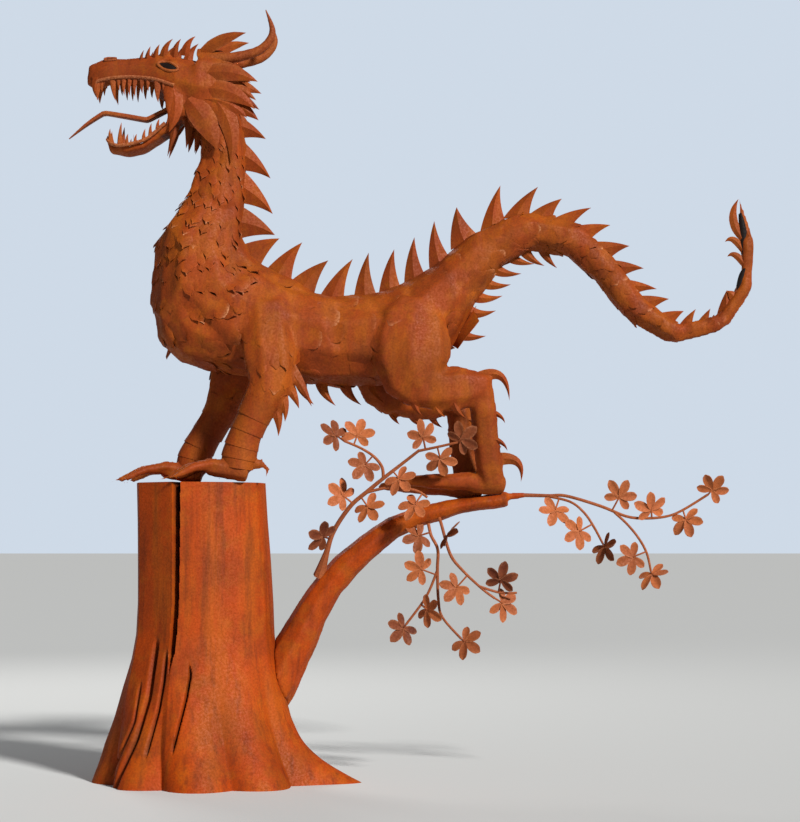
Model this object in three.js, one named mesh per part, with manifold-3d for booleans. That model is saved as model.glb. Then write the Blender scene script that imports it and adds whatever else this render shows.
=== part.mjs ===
// A dragon of hammered, rusted sheet steel. It stands with its forefeet on a steel tree stump and its hind
// feet on the branch that grows from it. Millimetres, +Z up. The dragon looks along -X and turns its left
// side to -Y. The origin is the middle of the stump's underside.
import * as THREE from "three";
import { mergeVertices } from "three/addons/utils/BufferGeometryUtils.js";
import Module from "manifold-3d";

const wasm = await Module();
wasm.setup();

// Driving dimensions, in millimetres unless a name says otherwise
const WELD_GAP = 0.4;
const STUMP_HEIGHT = 1880;
const STUMP_SIDES = 36;
const ROOT_FOLD_HEIGHT = 820;
const ROOT_FOLD_COUNT = 9;
const ROOT_FOLD_SHARE = 0.17;
const LONG_ROOT_REACH = 235;
const LONG_ROOT_HEIGHT = 330;
const LONG_ROOT_ANGLE = -0.12;
const GROOVE_ANGLE = -1.93;
const GROOVE_DEPTH = 85;
const GROOVE_SPREAD = 0.085;
const PLATE_COURSES = 20;
const PLATE_LIFT = 16;
const PLATE_POINT = 0.3;
const BODY_SIDES = 10;
const LEAF_REACH = 122;
const LEAF_THICKNESS = 5;
const STALK_HALF_WIDTH = 6;

// Height, half width, half depth and middle of the trunk, from the ground up
const TRUNK = [
  [0, 690, 640, 0],
  [60, 668, 622, -8],
  [140, 636, 590, -20],
  [245, 600, 545, -35],
  [400, 545, 492, -45],
  [590, 500, 455, -48],
  [770, 458, 425, -42],
  [920, 436, 402, -38],
  [1120, 428, 392, -38],
  [1380, 420, 384, -48],
  [1640, 410, 376, -60],
  [STUMP_HEIGHT, 405, 370, -70],
];

// Middle line of the branch: x, y, z, half depth, half width
const BRANCH = [
  [330, 0, 505, 165, 150],
  [460, 0, 710, 147, 140],
  [585, 0, 950, 121, 120],
  [705, 0, 1175, 99, 105],
  [855, 0, 1355, 93, 100],
  [1025, 0, 1500, 83, 95],
  [1215, 0, 1625, 70, 90],
  [1460, 0, 1705, 58, 85],
  [1680, 0, 1750, 51, 85],
  [1885, 0, 1781, 48, 78],
];
const BRANCH_STUB = [
  [1840, 0, 1790, 24, 24],
  [1940, 0, 1800, 23, 23],
  [2010, 0, 1806, 21, 21],
];

// Breast between the forelegs, below the neck: x, y, z, half depth, half width
const CHEST = [
  [-120, 0, 3200, 235, 190],
  [-112, 0, 2968, 288, 245],
  [-15, 0, 2880, 284, 262],
  [130, 0, 2862, 230, 255],
  [330, 0, 2850, 200, 200],
];

// Shoulder behind the neck: x, y, z, half depth, half width
const WITHERS = [
  [20, 0, 3490, 120, 110],
  [60, 0, 3385, 150, 145],
  [205, 0, 3170, 158, 165],
  [400, 0, 3085, 155, 160],
  [600, 0, 3020, 110, 120],
];

// Middle line of neck, trunk and tail: x, y, z, half depth, half width
const SPINE = [
  [45, 0, 4330, 120, 105],
  [60, 0, 4100, 152, 130],
  [58, 0, 3935, 150, 132],
  [45, 0, 3765, 168, 142],
  [-15, 0, 3602, 222, 180],
  [-78, 0, 3410, 276, 232],
  [-90, 0, 3250, 320, 265],
  [5, 0, 3010, 408, 292],
  [154, 0, 2937, 372, 300],
  [350, 0, 2868, 318, 295],
  [603, 0, 2812, 298, 275],
  [850, 0, 2788, 290, 255],
  [1120, 0, 2815, 302, 255],
  [1290, 0, 2890, 285, 245],
  [1420, 0, 2990, 240, 212],
  [1537, 0, 3140, 184, 178],
  [1645, 0, 3275, 160, 152],
  [1790, 0, 3405, 138, 134],
  [1910, 0, 3475, 130, 122],
  [2110, 0, 3508, 118, 110],
  [2290, 0, 3460, 108, 100],
  [2420, 0, 3370, 100, 92],
  [2510, 0, 3270, 96, 86],
  [2675, 0, 3045, 88, 78],
  [2785, 0, 2935, 77, 70],
  [2950, 0, 2845, 64, 60],
  [3105, 0, 2843, 54, 50],
  [3220, 0, 2885, 46, 42],
  [3335, 0, 2980, 44, 38],
  [3415, 0, 3110, 41, 34],
  [3452, 0, 3300, 39, 30],
  [3432, 0, 3500, 34, 24],
  [3388, 0, 3718, 6, 5],
];

const SKULL = [
  [150, 0, 4440, 135, 100],
  [50, 0, 4447, 235, 165],
  [-70, 0, 4455, 248, 190],
  [-185, 0, 4458, 222, 185],
  [-265, 0, 4548, 118, 160],
  [-360, 0, 4557, 92, 128],
  [-480, 0, 4565, 72, 100],
  [-610, 0, 4557, 66, 85],
  [-700, 0, 4548, 88, 80],
  [-755, 0, 4512, 95, 60],
  [-790, 0, 4440, 40, 28],
];
const JAW = [
  [-190, 0, 4270, 52, 150],
  [-300, 0, 4158, 38, 140],
  [-410, 0, 4062, 36, 122],
  [-495, 0, 4033, 36, 108],
  [-595, 0, 4018, 38, 88],
  [-655, 0, 4045, 36, 60],
  [-682, 0, 4092, 14, 30],
];
const TONGUE = [
  [-262, 0, 4316, 14, 42],
  [-430, 0, 4232, 14, 42],
  [-570, 0, 4255, 14, 38],
  [-705, 0, 4270, 13, 34],
  [-800, 0, 4228, 12, 26],
  [-935, 0, 4105, 3, 5],
];
const HORN = [
  [-20, 80, 4600, 40, 38],
  [180, 92, 4625, 33, 32],
  [315, 105, 4672, 28, 27],
  [383, 115, 4775, 21, 20],
  [340, 120, 4920, 3, 3],
];

// Tooth rows: x of the root, z of the root, x of the tip, z of the tip, half width
const UPPER_TEETH = [
  [-728, 4480, -734, 4326, 22],
  [-695, 4520, -702, 4388, 15],
  [-640, 4536, -644, 4362, 19],
  [-565, 4536, -570, 4388, 16],
  [-520, 4534, -527, 4358, 16],
  [-484, 4534, -491, 4350, 16],
  [-345, 4520, -360, 4336, 27],
];
const LOWER_TEETH = [
  [-668, 4060, -682, 4180, 16],
  [-600, 4025, -604, 4212, 20],
  [-556, 4030, -558, 4130, 15],
  [-500, 4040, -506, 4152, 16],
  [-410, 4070, -402, 4190, 18],
  [-340, 4125, -338, 4222, 18],
];

// Head plates on each side: root x, root z, tip x, tip z, half width, distance from the middle
const BROW_PLATES = [
  [-430, 4600, -405, 4700, 22, 66],
  [-375, 4610, -345, 4708, 24, 78],
  [-300, 4620, -258, 4742, 28, 88],
  [-245, 4620, -208, 4740, 28, 92],
  [-165, 4630, -112, 4756, 32, 96],
];
const MANE_PLATES = [
  [-60, 4565, 230, 4512, 48, 128],
  [-50, 4490, 295, 4440, 56, 158],
  [-60, 4420, 285, 4330, 60, 168],
  [-70, 4360, 275, 4262, 62, 166],
  [-90, 4310, 225, 4200, 56, 160],
  [-200, 4300, 40, 3998, 62, 150],
  [-60, 4320, 118, 3908, 66, 148],
];
const CHIN_PLATES = [
  [-235, 4210, -295, 3980, 34, 40],
  [-150, 4230, -172, 4026, 36, 70],
  [-90, 4230, -122, 4006, 36, 30],
];
const CHEEK_PLATE = [-222, 4520, -292, 4150, 78, 150];

const NEAR_FORELEG = [
  [335, 215, 3010, 150, 70],
  [360, 252, 2835, 172, 98],
  [385, 272, 2645, 176, 108],
  [382, 278, 2485, 138, 106],
  [300, 268, 2320, 110, 95],
  [235, 258, 2180, 103, 86],
  [195, 250, 2050, 110, 84],
  [180, 246, 1965, 98, 80],
];
const FAR_FORELEG = [
  [290, 215, 3040, 150, 70],
  [235, 252, 2880, 175, 98],
  [155, 272, 2695, 205, 108],
  [105, 276, 2530, 162, 106],
  [30, 266, 2355, 112, 95],
  [-65, 256, 2190, 103, 86],
  [-135, 248, 2055, 108, 84],
  [-155, 244, 1965, 98, 80],
];
const THIGH = [
  [1325, 170, 3030, 150, 60],
  [1282, 212, 2870, 245, 95],
  [1270, 232, 2710, 262, 114],
  [1290, 232, 2550, 222, 106],
  [1360, 222, 2405, 118, 74],
];
const SHANK = [
  [1320, 226, 2450, 110, 84],
  [1495, 222, 2470, 148, 86],
  [1630, 208, 2478, 138, 78],
  [1745, 190, 2508, 70, 60],
];
const METATARSUS = [
  [1718, 192, 2545, 66, 62],
  [1728, 170, 2340, 88, 66],
  [1745, 138, 2150, 90, 62],
  [1770, 104, 1975, 92, 58],
  [1800, 78, 1862, 80, 54],
];
const HIND_FOOT = [
  [1872, 66, 1858, 52, 46],
  [1770, 66, 1882, 84, 56],
  [1640, 66, 1890, 66, 58],
  [1480, 66, 1888, 54, 58],
  [1320, 66, 1894, 42, 54],
  [1215, 66, 1890, 24, 40],
];
const FAR_HIND_SHIFT = [-140, 0, -28];

// Plates behind the elbow and the hock: root x and z, bend x and z, tip x and z, half width
const ELBOW_PLATES = [
  [400, 2400, 455, 2290, 440, 2166, 46],
  [430, 2470, 500, 2370, 482, 2256, 46],
  [455, 2550, 540, 2440, 570, 2340, 48],
  [480, 2620, 590, 2500, 650, 2352, 48],
];
const HOCK_PLATES = [
  [1690, 2530, 1880, 2640, 1894, 2396, 40],
  [1750, 2330, 1850, 2320, 1868, 2255, 22],
  [1760, 2160, 1860, 2150, 1882, 2080, 22],
  [1780, 2020, 2005, 2080, 1970, 1886, 42],
];
const SHANK_TUFTS = [
  [1190, 2560, 1150, 2440, 1230, 2370, 40],
  [1290, 2460, 1270, 2360, 1340, 2300, 38],
  [1420, 2420, 1410, 2320, 1490, 2290, 36],
  [1540, 2410, 1540, 2320, 1620, 2280, 34],
];

// Twigs: x, y, z, radius, radius
const UPPER_TWIGS = [
  [
    [690, -30, 1290, 40, 40],
    [738, -95, 1440, 19, 19],
    [785, -140, 1575, 15, 15],
    [890, -180, 1730, 14, 14],
    [1000, -205, 1825, 13, 13],
    [1105, -225, 1910, 12, 12],
    [1325, -262, 2080, 9, 9],
  ],
  [
    [1098, -224, 1905, 10, 10],
    [1090, -232, 1975, 10, 10],
    [1040, -238, 2040, 9, 9],
    [960, -242, 2092, 8, 8],
    [850, -246, 2140, 8, 8],
  ],
  [
    [985, -203, 1815, 10, 10],
    [1130, -225, 1845, 9, 9],
    [1295, -235, 1830, 9, 9],
    [1375, -240, 1785, 8, 8],
  ],
  [
    [1318, -262, 2075, 9, 9],
    [1450, -282, 2102, 8, 8],
    [1565, -296, 2128, 8, 8],
  ],
];
const UPPER_LEAVES = [
  [800, -262, 2172],
  [935, -228, 2178],
  [985, -262, 1990],
  [845, -212, 1795],
  [1000, -238, 1728],
  [718, -172, 1540],
  [1195, -258, 1905],
  [1300, -262, 1742],
  [1345, -288, 2160],
  [1455, -262, 2030],
  [1585, -308, 2145],
];
const HANGING_RIGHT_TWIGS = [
  [
    [1440, -20, 1690, 11, 11],
    [1462, -75, 1630, 10, 10],
    [1520, -112, 1430, 10, 10],
    [1600, -118, 1325, 9, 9],
    [1720, -120, 1212, 8, 8],
    [1800, -120, 1152, 8, 8],
  ],
  [
    [1700, -120, 1228, 8, 8],
    [1830, -124, 1188, 8, 8],
    [1940, -126, 1186, 7, 7],
  ],
];
const HANGING_RIGHT_LEAVES = [
  [1505, -142, 1548],
  [1560, -150, 1222],
  [1838, -152, 1268],
  [1850, -100, 1120],
];
const HANGING_LEFT_TWIGS = [
  [
    [1375, -10, 1680, 11, 11],
    [1398, -50, 1555, 10, 10],
    [1442, -66, 1460, 10, 10],
    [1440, -70, 1330, 10, 10],
    [1446, -74, 1140, 9, 9],
    [1472, -78, 1030, 8, 8],
    [1590, -84, 895, 8, 8],
  ],
  [
    [1441, -70, 1330, 9, 9],
    [1368, -80, 1160, 8, 8],
    [1240, -86, 985, 8, 8],
  ],
];
const HANGING_LEFT_LEAVES = [
  [1325, -70, 1545],
  [1335, -100, 1335],
  [1375, -112, 1082],
  [1225, -96, 968],
  [1610, -96, 882],
];
const RIGHT_TWIGS = [
  [
    [1990, 0, 1805, 13, 13],
    [2150, -8, 1801, 11, 11],
    [2265, -14, 1799, 10, 10],
    [2480, -20, 1735, 10, 10],
    [2650, -24, 1668, 9, 9],
    [2780, -26, 1657, 9, 9],
    [2905, -28, 1670, 8, 8],
    [3005, -30, 1710, 8, 8],
    [3165, -34, 1808, 8, 8],
  ],
  [
    [2570, -22, 1695, 9, 9],
    [2650, -34, 1618, 8, 8],
    [2720, -44, 1530, 8, 8],
    [2770, -50, 1435, 8, 8],
    [2795, -54, 1320, 7, 7],
  ],
  [
    [2155, -8, 1797, 9, 9],
    [2290, -40, 1760, 8, 8],
    [2375, -54, 1690, 8, 8],
    [2435, -62, 1600, 8, 8],
    [2490, -68, 1495, 7, 7],
  ],
];
const RIGHT_LEAVES = [
  [2190, -62, 1712],
  [2340, -92, 1575],
  [2498, -84, 1478],
  [2680, -74, 1412],
  [2800, -72, 1305],
  [2600, -44, 1795],
  [2800, -52, 1712],
  [3020, -52, 1652],
  [3188, -46, 1838],
];

// Outlines of the plates as shares of the full half width, from root to tip
const FIN = [1, 0.86, 0.52, 0];
const FEATHER = [0.75, 1, 0];
const SPUR = [1, 0.8, 0.45, 0];
const TUFT = [1, 0.72, 0];
const TOOTH = [1, 0];
const LEAFLET_ANGLES = [-2.05, -1.05, 0, 1.05, 2.05];
const LEAFLET_REACH = [0.8, 0.96, 1, 0.96, 0.8];

const SIDEWAYS = new THREE.Vector3(0, 1, 0);

function point(x, y, z) {
  return new THREE.Vector3(x, y, z);
}

// The closed solid of a three.js geometry, with triangles that shrank to a line left out
function solidOf(geometry) {
  const bare = geometry.clone();
  bare.deleteAttribute("normal");
  bare.deleteAttribute("uv");
  const merged = mergeVertices(bare, 0.001);
  const corners = merged.index.array;
  const kept = [];
  for (let i = 0; i < corners.length; i += 3) {
    const [a, b, c] = [corners[i], corners[i + 1], corners[i + 2]];
    if (a !== b && b !== c && c !== a) kept.push(a, b, c);
  }
  const mesh = new wasm.Mesh({
    numProp: 3,
    vertProperties: merged.attributes.position.array,
    triVerts: new Uint32Array(kept),
  });
  return new wasm.Manifold(mesh);
}

// A three.js mesh of a joined or cut solid
function meshOf(name, solid, material) {
  const shape = solid.getMesh();
  const geometry = new THREE.BufferGeometry();
  const places = new Float32Array(shape.vertProperties);
  geometry.setAttribute("position", new THREE.BufferAttribute(places, 3));
  geometry.setIndex(new THREE.BufferAttribute(new Uint32Array(shape.triVerts), 1));
  geometry.computeVertexNormals();
  const mesh = new THREE.Mesh(geometry, material);
  mesh.name = name;
  return mesh;
}

function union(solids) {
  return wasm.Manifold.union(solids);
}

// The biggest body of a solid that a cut has left in pieces
function biggest(solid) {
  const bodies = solid.decompose();
  return bodies.reduce((best, body) => (body.volume() > best.volume() ? body : best));
}

// A solid swelled by the weld gap: joined with copies of itself moved a little each way
function swelled(solid) {
  const moves = [-WELD_GAP, WELD_GAP].flatMap((d) => [[d, 0, 0], [0, d, 0], [0, 0, d]]);
  return union([solid, ...moves.map((move) => solid.translate(move))]);
}

// A piece cut to the shape of the one that it is welded on, and drawn off it by the weld gap
function seat(piece, support, outward) {
  const step = outward.clone().normalize().multiplyScalar(WELD_GAP);
  return biggest(piece.subtract(support)).translate([step.x, step.y, step.z]);
}

// A piece with the room of its neighbours cut out of it
function clearOf(piece, room) {
  return biggest(piece.subtract(room));
}

// A closed tube of changing oval section: the rings of a cylinder are moved on to a line
function loft(line, sectionAt, sides, rings) {
  const tube = new THREE.CylinderGeometry(1, 1, 1, sides, rings.length - 1);
  const places = tube.attributes.position;
  const unit = new THREE.Vector3();
  for (let i = 0; i < places.count; i += 1) {
    unit.fromBufferAttribute(places, i);
    const ring = rings[Math.round((0.5 - unit.y) * (rings.length - 1))];
    const spoke = Math.round((Math.atan2(unit.x, unit.z) / (2 * Math.PI)) * sides) + sides;
    const t = spoke % 2 === ring.parity ? ring.pointed : ring.t;
    const along = line.getTangent(t);
    const across = SIDEWAYS.clone().addScaledVector(along, -along.dot(SIDEWAYS)).normalize();
    const outward = along.clone().cross(across);
    const [depth, width] = sectionAt(t);
    const lift = ring.lift * Math.min(1, 1.25 * Math.abs(unit.x));
    const place = line.getPoint(t);
    place.addScaledVector(across, unit.x * (width + lift));
    place.addScaledVector(outward, unit.z * (depth + lift));
    places.setXYZ(i, place.x, place.y, place.z);
  }
  return solidOf(tube);
}

function evenRings(count) {
  return Array.from({ length: count }, (_, i) => ({ t: i / (count - 1), lift: 0, parity: -1 }));
}

// Rings of overlapping plate courses: each course rises to a lifted, pointed rear edge
function courseRings(line, courses) {
  const rings = [{ t: 0, lift: 0, parity: -1 }];
  for (let i = 1; i < courses; i += 1) {
    const parity = i % 2;
    const share = (offset) => line.getUtoTmapping((i + offset) / courses);
    rings.push({ t: share(-0.06), pointed: share(PLATE_POINT - 0.06), lift: PLATE_LIFT, parity });
    rings.push({ t: share(0), pointed: share(PLATE_POINT), lift: 0, parity });
  }
  rings.push({ t: 1, lift: 0, parity: -1 });
  return rings;
}

function trackOf(rows) {
  const line = new THREE.CatmullRomCurve3(rows.map(([x, y, z]) => point(x, y, z)));
  const sizes = rows.map(([, , , depth, width]) => point(depth, width, 0));
  const sizeLine = new THREE.CatmullRomCurve3(sizes, false, "catmullrom");
  return { line, sectionAt: (t) => sizeLine.getPoint(t).toArray() };
}

function limb(rows, sides, ringCount) {
  const { line, sectionAt } = trackOf(rows);
  return loft(line, sectionAt, sides, evenRings(ringCount));
}

// A folded plate: a pointed blade of four-sided section along a bent line
function blade(root, bend, tip, halfWidth, halfThickness, outline) {
  const line = new THREE.QuadraticBezierCurve3(root, bend, tip);
  const last = outline.length - 1;
  const sectionAt = (t) => {
    const share = outline[Math.round(t * last)];
    return [halfWidth * share, halfThickness * Math.min(share, 1 - 0.7 * t)];
  };
  return loft(line, sectionAt, 4, evenRings(outline.length));
}

function straightBlade(root, tip, halfWidth, halfThickness, outline) {
  const middle = root.clone().lerp(tip, 0.5);
  return blade(root, middle, tip, halfWidth, halfThickness, outline);
}

// Both sides of a row given for the side away from the camera
function mirrored(rows, side) {
  return rows.map(([x, y, z, depth, width]) => [x, y * side, z, depth, width]);
}

function shifted(rows, [dx, dy, dz]) {
  return rows.map(([x, y, z, depth, width]) => [x + dx, y + dy, z + dz, depth, width]);
}

// Tree

function trunkAt(height) {
  const above = TRUNK.findIndex((row) => row[0] >= height);
  const [low, high] = [TRUNK[Math.max(above - 1, 0)], TRUNK[above]];
  const share = high[0] === low[0] ? 0 : (height - low[0]) / (high[0] - low[0]);
  return low.map((value, i) => value + (high[i] - value) * share);
}

function angleBetween(a, b) {
  return Math.atan2(Math.sin(a - b), Math.cos(a - b));
}

function trunkPoint(angle, height) {
  const [, halfWidth, halfDepth, middle] = trunkAt(height);
  const foldShare = Math.max(0, 1 - height / ROOT_FOLD_HEIGHT) ** 1.4;
  const fold = Math.abs(Math.cos((ROOT_FOLD_COUNT / 2) * (angle + 0.22)));
  let scale = 1 + ROOT_FOLD_SHARE * foldShare * (fold - 0.55);
  const groove = Math.exp(-((angleBetween(angle, GROOVE_ANGLE) / GROOVE_SPREAD) ** 2));
  const grooveShare = Math.min(1, Math.max(0, (height - 300) / 500));
  scale -= (GROOVE_DEPTH / halfDepth) * groove * grooveShare;
  const lobe = 0.02 * Math.cos(5 * angle + 1.1) * (1 - foldShare);
  const rootShare = Math.max(0, 1 - height / LONG_ROOT_HEIGHT) ** 2.2;
  const rootSpread = angleBetween(angle, LONG_ROOT_ANGLE) / 0.2;
  const root = LONG_ROOT_REACH * rootShare * Math.exp(-(rootSpread ** 2));
  const x = middle + (halfWidth * (scale + lobe) + root) * Math.cos(angle);
  const y = (halfDepth * (scale + lobe) + root * 0.5) * Math.sin(angle);
  return [x, y];
}

function makeStump() {
  const block = new THREE.CylinderGeometry(1, 1, 1, STUMP_SIDES, TRUNK.length - 1);
  const places = block.attributes.position;
  const unit = new THREE.Vector3();
  for (let i = 0; i < places.count; i += 1) {
    unit.fromBufferAttribute(places, i);
    const level = TRUNK.length - 1 - Math.round((0.5 - unit.y) * (TRUNK.length - 1));
    const height = TRUNK[level][0];
    const spread = Math.hypot(unit.x, unit.z);
    const angle = Math.atan2(-unit.z, unit.x);
    const [x, y] = trunkPoint(angle, height);
    const middle = TRUNK[level][3];
    places.setXYZ(i, middle + (x - middle) * spread, y * spread, height);
  }
  return solidOf(block);
}

// The thick branch and the stub of a sawn one, thicker all round by the room given
function branchForm(room) {
  const wider = (rows) => rows.map(([x, y, z, depth, width]) => [x, y, z, depth + room, width + room]);
  return union([limb(wider(BRANCH), 8, 12), limb(wider(BRANCH_STUB), 6, 2)]);
}

// Outline of a palmate leaf with its stalk, the stalk running back to the twig
function leafShape(stalk) {
  const outline = [];
  LEAFLET_ANGLES.forEach((angle, i) => {
    const reach = LEAF_REACH * LEAFLET_REACH[i];
    const at = (share, turn) => {
      const [r, a] = [reach * share, angle + turn];
      return new THREE.Vector2(r * Math.cos(a), r * Math.sin(a));
    };
    outline.push(at(0.94, -0.27), at(0.94, 0.27));
    const next = LEAFLET_ANGLES[i + 1];
    if (next !== undefined) outline.push(at(0.26, (next - angle) / 2));
  });
  outline.push(new THREE.Vector2(-stalk, STALK_HALF_WIDTH));
  outline.push(new THREE.Vector2(-stalk, -STALK_HALF_WIDTH));
  return new THREE.Shape(outline);
}

// A palmate leaf on a stalk from the nearest point of its twigs
function leaf(centre, lines, order) {
  const samples = lines.flatMap((line) => line.getPoints(24));
  const near = samples.reduce((best, p) => (p.distanceTo(centre) < best.distanceTo(centre) ? p : best));
  const forward = centre.clone().sub(near);
  const stalk = Math.max(forward.length(), 0.2 * LEAF_REACH);
  forward.normalize();
  const turn = 0.45 * Math.sin(2.4 * order + 0.6);
  const tilt = 0.4 * Math.cos(1.7 * order);
  const face = point(turn, -1, tilt);
  face.addScaledVector(forward, -face.dot(forward)).normalize();
  const across = face.clone().cross(forward);
  const plate = new THREE.ExtrudeGeometry(leafShape(stalk), { depth: LEAF_THICKNESS, bevelEnabled: false });
  plate.translate(0, 0, -LEAF_THICKNESS / 2);
  plate.applyMatrix4(new THREE.Matrix4().makeBasis(forward, across, face).setPosition(centre));
  return solidOf(plate);
}

function spray(twigs, leaves, support) {
  const lines = twigs.map((rows) => trackOf(rows).line);
  const rods = twigs.map((rows) => limb(rows, 3, rows.length));
  const foliage = leaves.map(([x, y, z], i) => leaf(point(x, y, z), lines, i));
  return clearOf(union([...rods, ...foliage]), support);
}

// Dragon

const spine = trackOf(SPINE);

// Middle, tangent and outward direction of the back at a share of the spine's length
function backAt(share) {
  const t = spine.line.getUtoTmapping(share);
  const along = spine.line.getTangent(t);
  const outward = along.clone().cross(SIDEWAYS);
  const [depth, width] = spine.sectionAt(t);
  return { middle: spine.line.getPoint(t), along, outward, depth, width };
}

function platesFrom(rows, side, halfThickness, outline) {
  return rows.map(([rootX, rootZ, tipX, tipZ, halfWidth, away]) => {
    const root = point(rootX, side * away * 0.86, rootZ);
    const tip = point(tipX, side * away, tipZ);
    const bend = root.clone().lerp(tip, 0.5).add(point(0, side * 14, 26));
    return blade(root, bend, tip, halfWidth, halfThickness, outline);
  });
}

function bentPlates(rows, side, away, shift, halfThickness, outline = SPUR) {
  return rows.map(([rootX, rootZ, bendX, bendZ, tipX, tipZ, halfWidth], i) => {
    const y = side * (away + 12 * (i % 2));
    const at = (x, z) => point(x + shift[0], y + shift[1], z + shift[2]);
    const [root, bend, tip] = [at(rootX, rootZ), at(bendX, bendZ), at(tipX, tipZ)];
    return blade(root, bend, tip, halfWidth, halfThickness, outline);
  });
}

function teeth(rows, side, away) {
  return rows.map(([rootX, rootZ, tipX, tipZ, halfWidth]) => {
    const inward = away(rootX);
    const root = point(rootX, side * inward, rootZ);
    return straightBlade(root, point(tipX, side * inward, tipZ), halfWidth, halfWidth * 0.55, TOOTH);
  });
}

function widthAt(rows) {
  return (x) => {
    const after = rows.findIndex((row) => row[0] <= x);
    const [a, b] = [rows[Math.max(after - 1, 0)], rows[Math.max(after, 1)]];
    const share = (x - a[0]) / (b[0] - a[0]);
    return (a[4] + (b[4] - a[4]) * share) * 0.84;
  };
}

function eyeCut(side) {
  const outline = new THREE.Shape();
  outline.moveTo(-66, 20);
  outline.quadraticCurveTo(10, 42, 62, -14);
  outline.quadraticCurveTo(-10, -34, -66, 20);
  const lens = new THREE.ExtrudeGeometry(outline, { depth: 90, bevelEnabled: false, curveSegments: 3 });
  lens.rotateX(Math.PI / 2);
  lens.translate(-305, side > 0 ? 190 : -100, 4588);
  return solidOf(lens);
}

function lowerJaw() {
  const inner = JAW.map(([x, y, z, depth, width]) => [x + 14, y, z + 40, depth + 8, width - 24]);
  return limb(JAW, 6, 6).subtract(limb(inner, 6, 6));
}

function headSide(side) {
  const cheek = [CHEEK_PLATE];
  return [
    ...platesFrom(BROW_PLATES, side, 12, TOOTH),
    ...platesFrom(MANE_PLATES, side, 16, FEATHER),
    ...platesFrom(CHIN_PLATES, side, 14, TOOTH),
    ...platesFrom(cheek, side, 34, FEATHER),
    ...teeth(UPPER_TEETH, side, widthAt(SKULL)),
    ...teeth(LOWER_TEETH, side, widthAt(JAW)),
  ];
}

function toe(ankle, heading, reach) {
  const at = (share, rise) => {
    const away = reach * share;
    return [ankle.x - away * Math.cos(heading), ankle.y + away * Math.sin(heading), STUMP_HEIGHT + rise];
  };
  const rows = [
    [...at(0.05, 92), 50, 48],
    [...at(0.38, 112), 42, 40],
    [...at(0.68, 88), 36, 34],
    [...at(0.95, 30), 22, 22],
  ];
  const root = point(...at(0.9, 42));
  const bend = point(...at(1.08, 62));
  const claw = blade(root, bend, point(...at(1.18, 2)), 20, 15, TOOTH);
  return union([limb(rows, 4, 4), claw]);
}

function forefoot(ankle, reach) {
  const heel = blade(
    point(ankle.x + 40, ankle.y, STUMP_HEIGHT + 110),
    point(ankle.x + 265, ankle.y, STUMP_HEIGHT + 150),
    point(ankle.x + 168, ankle.y, STUMP_HEIGHT - 2),
    44,
    26,
    SPUR,
  );
  const pad = [
    [ankle.x + 70, ankle.y, STUMP_HEIGHT + 52, 60, 76],
    [ankle.x - 60, ankle.y, STUMP_HEIGHT + 78, 62, 88],
    [ankle.x - 190, ankle.y, STUMP_HEIGHT + 84, 44, 92],
  ];
  const headings = [-0.4, 0, 0.4];
  const toes = headings.map((heading) => toe(ankle, heading, reach * (1 - 0.12 * Math.abs(heading))));
  return [heel, limb(pad, 6, 3), ...toes];
}

function hindFoot(side, shift) {
  const rows = shifted(mirrored(HIND_FOOT, side), shift);
  const at = (x, away, z) => point(x + shift[0], side * away, z + shift[2]);
  const claws = [38, 66, 94].map((away) =>
    blade(at(1250, away, 1892), at(1180, away, 1916), at(1140, away, 1868), 20, 14, TOOTH),
  );
  return [limb(rows, 6, 6), ...claws];
}

function hindLeg(side, shift) {
  const part = (rows, sides, rings) => limb(shifted(mirrored(rows, side), shift), sides, rings);
  return [
    part(THIGH, 8, 6),
    part(SHANK, 6, 5),
    part(METATARSUS, 6, 5),
    ...bentPlates(HOCK_PLATES.slice(0, 1), side, 190, shift, 22),
    ...bentPlates(HOCK_PLATES.slice(1, 3), side, 145, shift, 14, TOOTH),
    ...bentPlates(HOCK_PLATES.slice(3), side, 96, shift, 22),
    ...bentPlates(SHANK_TUFTS, side, 236, shift, 18, TUFT),
    ...hindFoot(side, shift),
  ];
}

function foreleg(rows, side, reach) {
  const [x, y, z] = rows[rows.length - 1];
  const shift = [rows[3][0] - NEAR_FORELEG[3][0], 0, rows[3][2] - NEAR_FORELEG[3][2]];
  return [
    limb(mirrored(rows, side), 7, 8),
    ...bentPlates(ELBOW_PLATES, side, 272, shift, 18, TUFT),
    ...forefoot(point(x, side * y, z), reach),
  ];
}

function dragonBody(support) {
  const shell = loft(spine.line, spine.sectionAt, BODY_SIDES, courseRings(spine.line, PLATE_COURSES));
  const skull = limb(SKULL, 9, 10);
  const parts = [
    shell,
    limb(CHEST, 10, 8),
    limb(WITHERS, 8, 8),
    skull.subtract(union([eyeCut(-1), eyeCut(1)])),
    lowerJaw(),
    ...headSide(-1),
    ...headSide(1),
    ...foreleg(NEAR_FORELEG, -1, 450),
    ...foreleg(FAR_FORELEG, 1, 490),
    ...hindLeg(-1, [0, 0, 0]),
    ...hindLeg(1, FAR_HIND_SHIFT),
  ];
  return clearOf(union(parts), support);
}

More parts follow.
